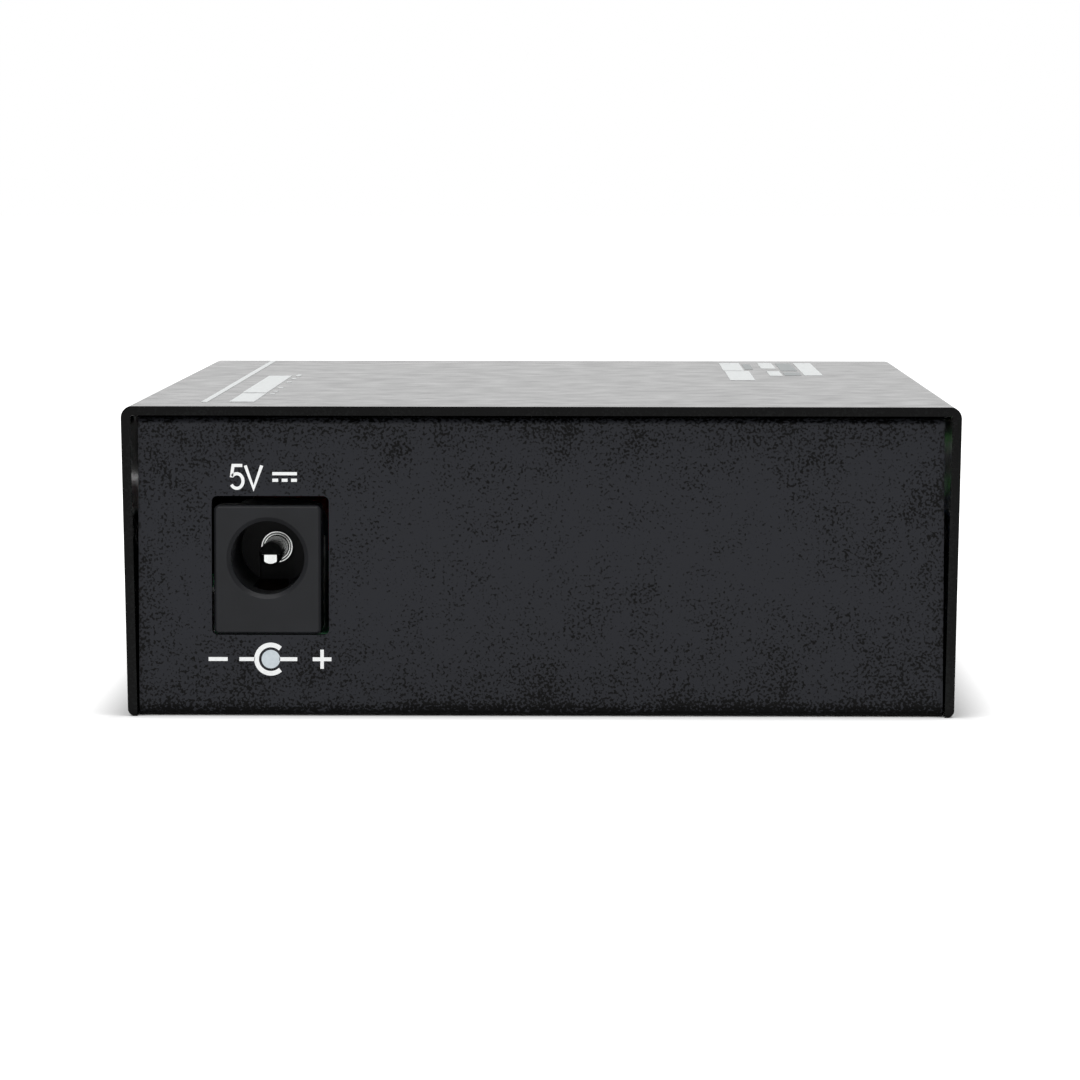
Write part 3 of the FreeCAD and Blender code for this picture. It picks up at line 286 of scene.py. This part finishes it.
# Bright nickel and gold are almost mirrors. Tin and zinc are cloudy. Black zinc only hints at metal.
nickel_plate = plated_metal("nickel_plated_brass", "#bcbdbc", "#d9dbda", 0.16)
tin_plate = plated_metal("tin_plated_steel", "#a9abaa", "#c3c5c3", 0.34, 0.16, along_depth)
gold_plate = plated_metal("gold_plated_bronze", "#c9983e", "#dfb45c", 0.22)
zinc_plate = plated_metal("zinc_plated_steel", "#9a9c9a", "#b4b6b2", 0.30)
black_zinc = plated_metal("black_zinc_steel", "#1b1b1c", "#2a2a2c", 0.38)
turned_steel = plated_metal("turned_stainless_steel", "#8f8f8c", "#a9a9a5", 0.26)
# The leaf's dark brown is painted shade: it stands for the shadow deep in the inlet's bore.
bore_shade_bronze = plated_metal("spring_bronze_painted_shade", "#2a241d", "#3d352b", 0.42)
drawn_aluminium = plated_metal("drawn_aluminium", "#b5b7ba", "#cacccf", 0.30, 0.2, along_height)

# %% [markdown]
# ## Clear epoxy lamps
# A status lamp is a block of tinted clear epoxy cast round its chip. Light goes into it, so it
# needs transmission, and the tint comes from the base colour. A soft cloudiness inside keeps it
# from looking like window glass.

# %% Tinted epoxy
def tinted_epoxy(name, dark, light):
    """Half clear, half milky, with a thin gloss on top."""
    material, tree, shader = start_finish(
        name, {"IOR": 1.55, "Transmission Weight": 0.45, "Roughness": 0.22, "Coat Weight": 0.3}
    )
    cloud = grain(tree, 0.8, detail=2.0).outputs["Fac"]
    tree.links.new(tint(tree, spread(tree, cloud, 0.0, 1.0), dark, light), shader.inputs["Base Color"])
    return material


green_epoxy = tinted_epoxy("tinted_green_epoxy", "#3f9c46", "#62bd62")
amber_epoxy = tinted_epoxy("tinted_amber_epoxy", "#d98a1a", "#f0a838")

# %% [markdown]
# ## Circuit board
# The board is woven glass in epoxy under a green solder mask. Copper tracks run under the mask and
# show as slightly lighter, slightly raised bands on a 0.6 mm raster. Two crossed sets of bands,
# broken up by noise, read as tracks without drawing a real circuit.

# %% Solder-masked laminate
TRACK_RASTER_MM = 0.6


def solder_masked_laminate(name):
    """Green mask with lighter tracks, which run along X in some patches and along Y in the others."""
    material, tree, shader = start_finish(name, {"IOR": 1.5, "Roughness": 0.28, "Coat Weight": 0.2})
    place = add(tree, "ShaderNodeTexCoord").outputs["Object"]
    patches = grain(tree, 4.0, detail=0.0).outputs["Fac"]
    raster = 2 * math.pi / (TRACK_RASTER_MM * MM) / 20  # a wave has 20 radians a unit
    runs = []
    for direction in ("X", "Y"):
        wave = add(
            tree,
            "ShaderNodeTexWave",
            {"Vector": place, "Scale": raster},
            bands_direction=direction,
        ).outputs["Fac"]
        runs.append(calculate(tree, "GREATER_THAN", wave, 0.62))
    which = calculate(tree, "GREATER_THAN", patches, 0.5)
    tracks = add(
        tree, "ShaderNodeMix", {"Factor": which, 2: runs[0], 3: runs[1]}, data_type="FLOAT"
    ).outputs[0]
    tree.links.new(tint(tree, tracks, "#0d4a2a", "#1b6a3d"), shader.inputs["Base Color"])
    tree.links.new(bump(tree, tracks, 0.03, 0.5), shader.inputs["Normal"])
    return material


laminate = solder_masked_laminate("solder_masked_laminate")

# %% [markdown]
# ## Which finish goes where
# The record gives every solid a material slot in plain words. A small table turns each slot into
# the finish made above. The solids keep their own meshes, and only their material slots change.
# One piece is named by itself: the leaf deep in the inlet's bore is spring bronze, given a dark brown
# that is painted shade for the shadow deep in the bore.

# %% Assign the finishes
FINISHES = {
    "cover_coat": cover_coat,
    "tray_coat": tray_coat,
    "black_zinc": black_zinc,
    "zinc_plate": zinc_plate,
    "board_laminate": laminate,
    "black_moulding": black_nylon,
    "nickel_plate": nickel_plate,
    "tin_plate": tin_plate,
    "gold_plate": gold_plate,
    "green_lens": green_epoxy,
    "amber_lens": amber_epoxy,
    "blue_moulding": blue_polyester,
    "cream_moulding": cream_polyester,
    "steel_optics": turned_steel,
    "red_moulding": red_polyester,
    "white_moulding": white_nylon,
    "black_epoxy": black_epoxy,
    "ferrite": fired_ferrite,
    "aluminium_can": drawn_aluminium,
    "ceramic_body": fired_ceramic,
}
slot_of = {part["node"]: part["material_slot"] for part in frame["record"]["subparts"]}
body_of = {
    node: body
    for body, members in frame["record"]["behaviour"]["bodies"].items()
    for node in members
}
finish_of = {node: FINISHES[slot] for node, slot in slot_of.items()}
finish_of["inlet_sleeve_spring"] = bore_shade_bronze
for node, solid in frame["nodes"].items():
    solid.data.materials.clear()
    solid.data.materials.append(finish_of[node])
print("finished solids:", len(slot_of))

# %% [markdown]
# ## Edges that catch the light
# Nothing real has a perfectly sharp edge: paint pulls back, moulds have radii and sheared sheet
# has a burr. A bright hairline along an edge is what tells the eye how big and how hard a thing
# is. For each piece in view we weld a copy of the solid's mesh, melt its flat triangles back into
# whole faces, and round what is left with a Bevel modifier. The copy stands in for the solid. The
# box's top is kept a film of ink lower than the solid's, because the print on it is the highest.

# %% Soften the edges of the pieces in view
INK_MM = 0.02
SHARP_ANGLE = math.radians(32)


def placed(name, data):
    """A new object that holds a mesh, a lamp or a camera, put into the scene."""
    thing = bpy.data.objects.new(name, data)
    bpy.context.scene.collection.objects.link(thing)
    return thing


def shade(shape):
    """Smooth shading that breaks at sharp edges."""
    for face in shape.faces:
        face.smooth = True
    for edge in shape.edges:
        edge.smooth = edge.calc_face_angle(math.pi) < SHARP_ANGLE


def softened(node, radius_mm, segments=2):
    """A copy of a solid with rounded edges, which replaces it and rides with it."""
    mesh = bpy.data.meshes.new(node + "_softened")
    shape = bmesh.new()
    shape.from_mesh(frame["nodes"][node].data)
    for vertex in shape.verts:
        vertex.co.z = min(vertex.co.z, cad_high.z - INK_MM * MM)
    bmesh.ops.remove_doubles(shape, verts=shape.verts, dist=0.0005 * MM)
    bmesh.ops.dissolve_limit(
        shape,
        angle_limit=math.radians(0.5),
        verts=shape.verts,
        edges=shape.edges,
        use_dissolve_boundaries=False,
    )
    shade(shape)
    shape.to_mesh(mesh)
    shape.free()
    piece = placed(node + "_softened", mesh)
    mesh.materials.append(finish_of[node])
    rounding = piece.modifiers.new("rounded_edges", "BEVEL")
    rounding.width = radius_mm * MM
    rounding.segments = segments
    rounding.limit_method = "ANGLE"
    rounding.angle_limit = SHARP_ANGLE
    rounding.harden_normals = True
    rounding.use_clamp_overlap = True
    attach(piece, body_of[node])
    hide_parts(node)
    return piece


EDGE_RADII_MM = {
    "top_cover": 0.12,
    "base_tray": 0.08,
    "inlet_body": 0.16,
    "lan_shield": 0.05,
    "lan_housing": 0.08,
    "fibre_housing": 0.10,
    "fibre_latches": 0.06,
    "switch_housing": 0.06,
    "status_lamps": 0.10,
}
for index in range(4):
    EDGE_RADII_MM[f"switch_slider_{index + 1}"] = 0.08
for node, radius_mm in EDGE_RADII_MM.items():
    softened(node, radius_mm)
print("softened pieces:", len(EDGE_RADII_MM))

# %% [markdown]
# ## The inlet's pin
# The plug's centre contact slides over a split pin, turned from brass rod and nickel plated. Its
# two prongs are finished differently: the lower ends in a small flat, and the upper slopes back
# so that a plug slides on easily. The flat mirrors the bright room and the slopes mirror the dark
# bore, so one half shines and the other vanishes. The slit is drawn nearly shut, because the
# bright walls of a wide one would add a line that a dark saw cut doesn't have. The collar, two
# thin rings with a groove between them, closes the bore's end.

# %% Two tools: turn and slice
TURN_STEPS = 48


def turned_solid(outline, axis_x, axis_z):
    """A solid of revolution along Y from (radius, y) points, the first and last on the axis."""
    shape = bmesh.new()
    turns = [2 * math.pi * i / TURN_STEPS for i in range(TURN_STEPS)]
    rings = []
    for radius, y in outline:
        if radius == 0:
            rings.append([shape.verts.new((axis_x, y, axis_z))])
            continue
        ring = [(axis_x + radius * math.cos(t), y, axis_z + radius * math.sin(t)) for t in turns]
        rings.append([shape.verts.new(point) for point in ring])
    for one, two in zip(rings, rings[1:]):
        for i in range(TURN_STEPS):
            j = (i + 1) % TURN_STEPS
            corners = [one[i % len(one)], one[j % len(one)], two[j % len(two)], two[i % len(two)]]
            shape.faces.new(list(dict.fromkeys(corners)))
    bmesh.ops.recalc_face_normals(shape, faces=shape.faces)
    return shape


def sliced(shape, point, away):
    """Cuts off what lies on the away side of a plane and closes the cut."""
    everything = shape.verts[:] + shape.edges[:] + shape.faces[:]
    cut = bmesh.ops.bisect_plane(
        shape, geom=everything, plane_co=point, plane_no=away, clear_outer=True
    )
    rim = [e for e in cut["geom_cut"] if isinstance(e, bmesh.types.BMEdge)]
    bmesh.ops.edgeloop_fill(shape, edges=rim)
    return shape


# %% [markdown]
# ## One outline, three slices
# The solid gives the pin's axis, its tip and its collar. The rest is one outline of radius against
# depth. It is turned three times, and each copy is sliced down to a prong or to the root.

# %% Make the pin
pin_low, pin_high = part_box("inlet_centre_pin")
axis_x, axis_z = (pin_low.x + pin_high.x) / 2, (pin_low.z + pin_high.z) / 2
collar_radius = (pin_high.x - pin_low.x) / 2
pin_points = [vertex.co for vertex in frame["nodes"]["inlet_centre_pin"].data.vertices]
collar_y = [
    p.y for p in pin_points if math.hypot(p.x - axis_x, p.z - axis_z) > 0.95 * collar_radius
]
tip, collar_front, collar_back = pin_high.y, max(collar_y), min(collar_y)
shank = 1.0 * MM
half_slit = 0.03 * MM
slit_end = tip - 3.0 * MM
half_flat = 0.54 * MM  # the lower prong's flat, from its middle to each bevel
outline = [
    (0.0, tip),
    (0.80 * MM, tip),
    (shank, tip - 0.35 * MM),
    (shank, collar_front - 0.3 * MM),
    (1.08 * MM, collar_front - 0.06 * MM),
    (1.14 * MM, collar_front - 0.06 * MM),
    (1.21 * MM, collar_front - 0.2 * MM),
    (1.28 * MM, collar_front),
    (1.36 * MM, collar_front),
    (collar_radius, collar_front - 0.08 * MM),
    (collar_radius, collar_back),
    (shank, collar_back),
    (shank, pin_low.y),
    (0.0, pin_low.y),
]
lower, upper, root = [turned_solid(outline, axis_x, axis_z) for _ in range(3)]
sliced(lower, (axis_x, 0, axis_z - half_slit), (0, 0, 1))
for side in (-1, 1):
    sliced(lower, (axis_x + side * half_flat, tip, axis_z), (side, 0.6, 0))
sliced(upper, (axis_x, 0, axis_z + half_slit), (0, 0, -1))
sliced(upper, (axis_x, tip - 0.1 * MM, axis_z + half_slit), (0, 1.0, 0.9))
for prong in (lower, upper):
    sliced(prong, (axis_x, slit_end, axis_z), (0, -1, 0))
sliced(root, (axis_x, slit_end, axis_z), (0, 1, 0))

mesh = bpy.data.meshes.new("split_contact_pin")
whole = bmesh.new()
for piece in (lower, upper, root):
    piece.to_mesh(mesh)
    whole.from_mesh(mesh)
    piece.free()
shade(whole)
whole.to_mesh(mesh)
whole.free()
mesh.materials.append(nickel_plate)
split_pin = placed("split_contact_pin", mesh)
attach(split_pin, "housing")
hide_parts("inlet_centre_pin")
depth = (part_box("inlet_body")[1].y - tip) / MM
print("pin:", len(mesh.polygons), "faces, its tip", round(depth, 2), "mm down the bore")

# %% [markdown]
# ## Printed marks
# White ink is screen printed on the coat: a film about 0.02 mm thick with crisp edges and a dull
# shine. Each mark is cut as a thin solid, because a printed edge is sharper than any texture. The
# outlines are strokes with a width, as a signwriter would draw them, and the lettering is only a
# plain voltage figure with the standard direct-current and polarity signs.

# %% Ink and its outlines
def printed_ink(name, dark, light):
    """Ink that is a touch thinner here and there, so that its shade and its shine waver."""
    material, tree, shader = start_finish(name, {"IOR": 1.48})
    thin = grain(tree, 0.35, detail=3.0).outputs["Fac"]
    tree.links.new(tint(tree, spread(tree, thin, 0.0, 1.0), dark, light), shader.inputs["Base Color"])
    tree.links.new(spread(tree, thin, 0.42, 0.58), shader.inputs["Roughness"])
    tree.links.new(bump(tree, thin, 0.004, 0.4), shader.inputs["Normal"])
    return material


# On the top, seen at a flat angle, the ink's own mirror adds to its shade, so it is mixed greyer.
white_ink = printed_ink("screen_printed_white_ink", "#f2f4f4", "#fbfcfc")
grey_ink = printed_ink("screen_printed_grey_ink", "#c4ced4", "#d2dbe0")
top_ink = printed_ink("screen_printed_top_ink", "#c4c7c7", "#dadddd")
worn_ink = printed_ink("screen_printed_faint_ink", "#7c8081", "#949999")


def stroke(points, width, closed=False):
    """A ribbon of one width along a line of points: a list of quads, four (a, b) corners each."""
    quads = []
    count = len(points)
    line = [Vector(p) for p in points]

    def across(i):
        before = line[i] - line[i - 1] if closed or i > 0 else line[1] - line[0]
        after = line[(i + 1) % count] - line[i] if closed or i < count - 1 else before
        direction = (before.normalized() + after.normalized()).normalized()
        half = width / 2 / max(direction.dot(after.normalized()), 0.5)
        return Vector((-direction.y, direction.x)) * half

    last = count if closed else count - 1
    for i in range(last):
        j = (i + 1) % count
        a, b = across(i), across(j)
        quads.append([line[i] + a, line[i] - a, line[j] - b, line[j] + b])
    return quads


def arc(centre, radius, start_deg, end_deg, steps=24):
    """Points along a round arc."""
    turn = math.radians(end_deg - start_deg) / steps
    turns = [math.radians(start_deg) + i * turn for i in range(steps + 1)]
    return [(centre[0] + radius * math.cos(t), centre[1] + radius * math.sin(t)) for t in turns]


def ink_mark(name, quads, place, away, material):
    """A thin solid of ink. place(a, b) is a point on the coat in mm, away points off the coat."""
    shape = bmesh.new()
    for quad in quads:
        corners = [shape.verts.new(Vector(place(*q)) * MM) for q in quad]
        shape.faces.new(corners)
    bmesh.ops.remove_doubles(shape, verts=shape.verts, dist=0.001 * MM)
    bmesh.ops.recalc_face_normals(shape, faces=shape.faces)
    grown = bmesh.ops.extrude_face_region(shape, geom=list(shape.faces))
    lifted = [v for v in grown["geom"] if isinstance(v, bmesh.types.BMVert)]
    bmesh.ops.translate(shape, verts=lifted, vec=Vector(away) * INK_MM * MM)
    bmesh.ops.recalc_face_normals(shape, faces=shape.faces)
    mesh = bpy.data.meshes.new(name)
    shape.to_mesh(mesh)
    shape.free()
    mesh.materials.append(material)
    piece = placed(name, mesh)
    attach(piece, "housing")
    return piece


# %% [markdown]
# ## Marks on the power panel
# Above the inlet stands its voltage, below it the polarity sign: a dot for the plug's centre, an
# open ring for its sleeve, and the plus and minus that they belong to. Seen from behind, the row's
# +X is on the left, so the marks are drawn from the panel's left edge and turned about in one place.

# %% Voltage and polarity
panel_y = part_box("base_tray")[1].y / MM
inlet_low, inlet_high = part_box("inlet_body")
inlet_x = (inlet_low.x + inlet_high.x) / 2 / MM


def on_power_panel(a, b):
    """a mm to the right of the inlet's middle, seen from behind, b mm above the resting plane."""
    return (inlet_x - a, panel_y, b)


def figure_five(left, low, width, height):
    """A 5: a top bar, a stem, and a bowl that is most of an ellipse."""
    centre, across, up = left + width / 2, width / 2, height * 0.32
    turns = [math.radians(t) for t in range(140, -151, -10)]
    bowl = [(centre + math.cos(t) * across, low + up + math.sin(t) * up) for t in turns]
    top = low + height
    stem_foot = (low + height * 0.64) * 0.985
    flag = [(left + width * 0.95, top), (left + width * 0.2, top), (left + width * 0.06, stem_foot)]
    return [flag, bowl]


LETTER_HEIGHT = 1.95
LETTER_STROKE = 0.27
letters_low = inlet_high.z / MM + 1.47
letters_high = letters_low + LETTER_HEIGHT
lines = figure_five(-3.1, letters_low, 1.05, LETTER_HEIGHT)
lines.append([(-1.85, letters_high), (-1.15, letters_low), (-0.45, letters_high)])
middle = (letters_low + letters_high) / 2
lines.append([(0.45, middle + 0.28), (2.55, middle + 0.28)])  # direct current: a line
for dash in (0.45, 1.25, 2.05):  # over three dashes
    lines.append([(dash, middle - 0.28), (dash + 0.5, middle - 0.28)])
voltage = [quad for line in lines for quad in stroke(line, LETTER_STROKE)]
ink_mark("voltage_mark", voltage, on_power_panel, (0, 1, 0), white_ink)

SIGN_STROKE = 0.33
sign_z = inlet_low.z / MM - 2.15
ring_a = 0.27
polarity = []
for left, right in ((-5.05, -3.42), (-2.42, -1.1)):  # minus, and the line into the ring
    polarity += stroke([(left, sign_z), (right, sign_z)], SIGN_STROKE)
polarity += stroke(arc((ring_a, sign_z), 1.22, 48, 312), 0.40)
for left, right in ((1.0, 2.53), (3.85, 5.45)):  # the line out of the dot, and the plus
    polarity += stroke([(left, sign_z), (right, sign_z)], SIGN_STROKE)
for low, high in ((-0.82, -0.165), (0.165, 0.82)):
    polarity += stroke([(4.65, sign_z + low), (4.65, sign_z + high)], 0.3)
ink_mark("polarity_mark", polarity, on_power_panel, (0, 1, 0), white_ink)
dot = stroke(arc((ring_a, sign_z), 0.4, 0, 345, 23), 0.79, closed=True)
ink_mark("polarity_dot", dot, on_power_panel, (0, 1, 0), grey_ink)
print("power panel marks at y =", round(panel_y, 2), "mm")

# %% [markdown]
# ## Print on the top
# Print runs from back to front along both sides of the top. Words are left off, so each line of
# them becomes a plain bar of ink, in white or in the grey that small type blurs to.
# The print is the highest thing on the box: the coat under it lies its thickness lower.

# %% Bars of ink
top_z = cad_high.z / MM - INK_MM
back_y = cad_high.y / MM


def on_top(a, b):
    """a millimetres towards +X, b millimetres in from the back edge."""
    return (a, back_y - b, top_z)


def bar(left, right, near, far):
    """One rectangle of ink between two X and two distances from the back edge, in millimetres."""
    return [Vector((left, near)), Vector((right, near)), Vector((right, far)), Vector((left, far))]


side_stripe = [bar(28.95, 29.5, 7.0, 92.5)]
heading = [bar(24.95, 27.1, 7.6, 22.8), bar(25.0, 27.2, 23.9, 58.0)]
dashes = ((21.4, 22.6), (25.8, 27.0), (32.4, 34.0), (43.8, 45.4), (50.8, 52.4), (57.4, 60.4))
heading += [bar(24.15, 24.6, near, far) for near, far in dashes]
rows = [
    bar(-19.85, -17.45, 50.0, 70.0),
    bar(-19.4, -17.35, 70.8, 89.0),
    bar(-22.85, -21.6, 59.4, 69.6),
    bar(-22.75, -21.3, 75.6, 89.0),
    bar(-26.8, -25.0, 60.3, 89.0),
]
small_rows = [
    bar(-20.4, -19.6, 74.0, 86.0),
    bar(-24.7, -23.1, 60.4, 66.8),
    bar(-24.7, -23.1, 70.6, 88.0),
]
for name, bars, ink in (
    ("side_stripe", side_stripe, top_ink),
    ("heading_bars", heading, top_ink),
    ("row_bars", rows, top_ink),
    ("small_row_bars", small_rows, worn_ink),
):
    ink_mark(name, bars, on_top, (0, 0, 1), ink)
    print(name, "has", len(bars), "bars")

# %% [markdown]
# ## The room
# A small black product is hard to light: lamps show as blotches in its skin. So the room itself is
# the lamp, white and even all round. One long strip overhead draws a line along the upper edges,
# and one large softbox in front lifts the back a little. A ray that ends in the camera, a mirror
# or a glass sees the room as plain white, and a ray that lights something gets a little less, so
# that a colour renders about as it is written.

# %% The room's light
DIRECT_WHITE = 1.0
FILL = 0.7


def seen_directly(tree):
    """1 for camera, mirror and glass rays, 0 for the rays that light other things."""
    path = add(tree, "ShaderNodeLightPath")
    seen = path.outputs["Is Camera Ray"]
    for other in ("Is Glossy Ray", "Is Transmission Ray"):
        seen = calculate(tree, "MAXIMUM", seen, path.outputs[other])
    return seen


world = bpy.data.worlds.new("studio_air")
bpy.context.scene.world = world
world.use_nodes = True
air = world.node_tree
strength = add(
    air, "ShaderNodeMapRange", {"Value": seen_directly(air), "To Min": FILL, "To Max": DIRECT_WHITE}
).outputs["Result"]
air.nodes["Background"].inputs["Color"].default_value = (1, 1, 1, 1)
air.links.new(strength, air.nodes["Background"].inputs["Strength"])


def soft_lamp(name, place, aim, size, watts):
    """A rectangular softbox that faces a point."""
    data = bpy.data.lights.new(name, "AREA")
    data.shape = "RECTANGLE"
    data.size, data.size_y = size
    data.energy = watts
    lamp = placed(name, data)
    lamp.location = place
    lamp.rotation_euler = (Vector(aim) - Vector(place)).to_track_quat("-Z", "Y").to_euler()
    return lamp


soft_lamp("overhead_strip", (0.0, 0.15, 1.1), (0, 0, 0), (1.0, 0.14), 5.0)
soft_lamp("front_softbox", (0.4, 1.5, 0.9), (0, 0, 0.01), (1.4, 1.2), 5.0)
print("fill", FILL, "of white,", len(bpy.data.lights), "lamps")

# %% [markdown]
# ## The floor
# Pale paper, lit like everything else, so it takes the box's soft shadow. Off the box it glows just
# enough to read as pure white. Close to the box that glow fades out, as a painted shadow along the
# box's foot: the paper under a dark box is the one place that a bright room can't reach, and the folds
# above it mirror it.

# %% The floor
def pale_paper(half_box):
    """White paper that glows for direct rays, less and less within 5 mm of the box's foot, as a painted
    shadow.
    """
    material, tree, shader = start_finish("pale_paper", {"Roughness": 0.9, "Specular IOR Level": 0.0})
    fibres = grain(tree, 0.8, detail=2.0).outputs["Fac"]
    tree.links.new(tint(tree, fibres, "#ececec", "#f0f0f0"), shader.inputs["Base Color"])
    place = add(tree, "ShaderNodeTexCoord").outputs["Object"]
    sides = add(tree, "ShaderNodeSeparateXYZ", {"Vector": place})
    outside = []
    for axis, half in zip("XY", half_box):
        reach = calculate(tree, "ABSOLUTE", sides.outputs[axis])
        outside.append(calculate(tree, "SUBTRACT", reach, half))
    away = calculate(tree, "MAXIMUM", *outside)
    # Painted shadow: the glow fades to nothing within 5 mm of the box's foot.
    glow = add(
        tree, "ShaderNodeMapRange", {"Value": away, "From Max": 5 * MM, "To Max": 0.6}
    ).outputs["Result"]
    shown = calculate(tree, "MULTIPLY", glow, seen_directly(tree))
    shader.inputs["Emission Color"].default_value = (1, 1, 1, 1)
    tree.links.new(shown, shader.inputs["Emission Strength"])
    return material


def build_floor(radius):
    """A flat disc at the level that the box stands on."""
    shape = bmesh.new()
    bmesh.ops.create_circle(shape, cap_ends=True, segments=64, radius=radius)
    mesh = bpy.data.meshes.new("paper_floor")
    shape.to_mesh(mesh)
    shape.free()
    mesh.materials.append(pale_paper((cad_high.x, cad_high.y)))
    floor = placed("paper_floor", mesh)
    floor.location.z = cad_low.z - 0.03 * MM  # a hair under the tray, so that the two don't flicker
    return floor


build_floor(4.0)

# %% [markdown]
# ## The camera
# A long lens from a little above keeps the back square while a sliver of the top shows. Standard
# view transform keeps colours as written.

# %% Camera
camera_data = bpy.data.cameras.new("portrait_camera")
camera_data.sensor_width = 36.0
camera_data.lens = 155.0
camera_data.clip_start = 0.01
camera = placed("portrait_camera", camera_data)
camera.location = Vector((-5.10, 441.38, 46.73)) * MM
yaw, pitch, roll = math.radians(0.75), math.radians(4.58), math.radians(0.054)
level = math.cos(pitch)
gaze = Vector((math.sin(yaw) * level, -math.cos(yaw) * level, -math.sin(pitch)))
camera.rotation_euler = (gaze.to_track_quat("-Z", "Y") @ Quaternion((0, 0, 1), roll)).to_euler()
bpy.context.scene.camera = camera
bpy.context.scene.view_settings.view_transform = "Standard"
print("camera", [round(v / MM, 1) for v in camera.location], "mm, lens", camera_data.lens, "mm")
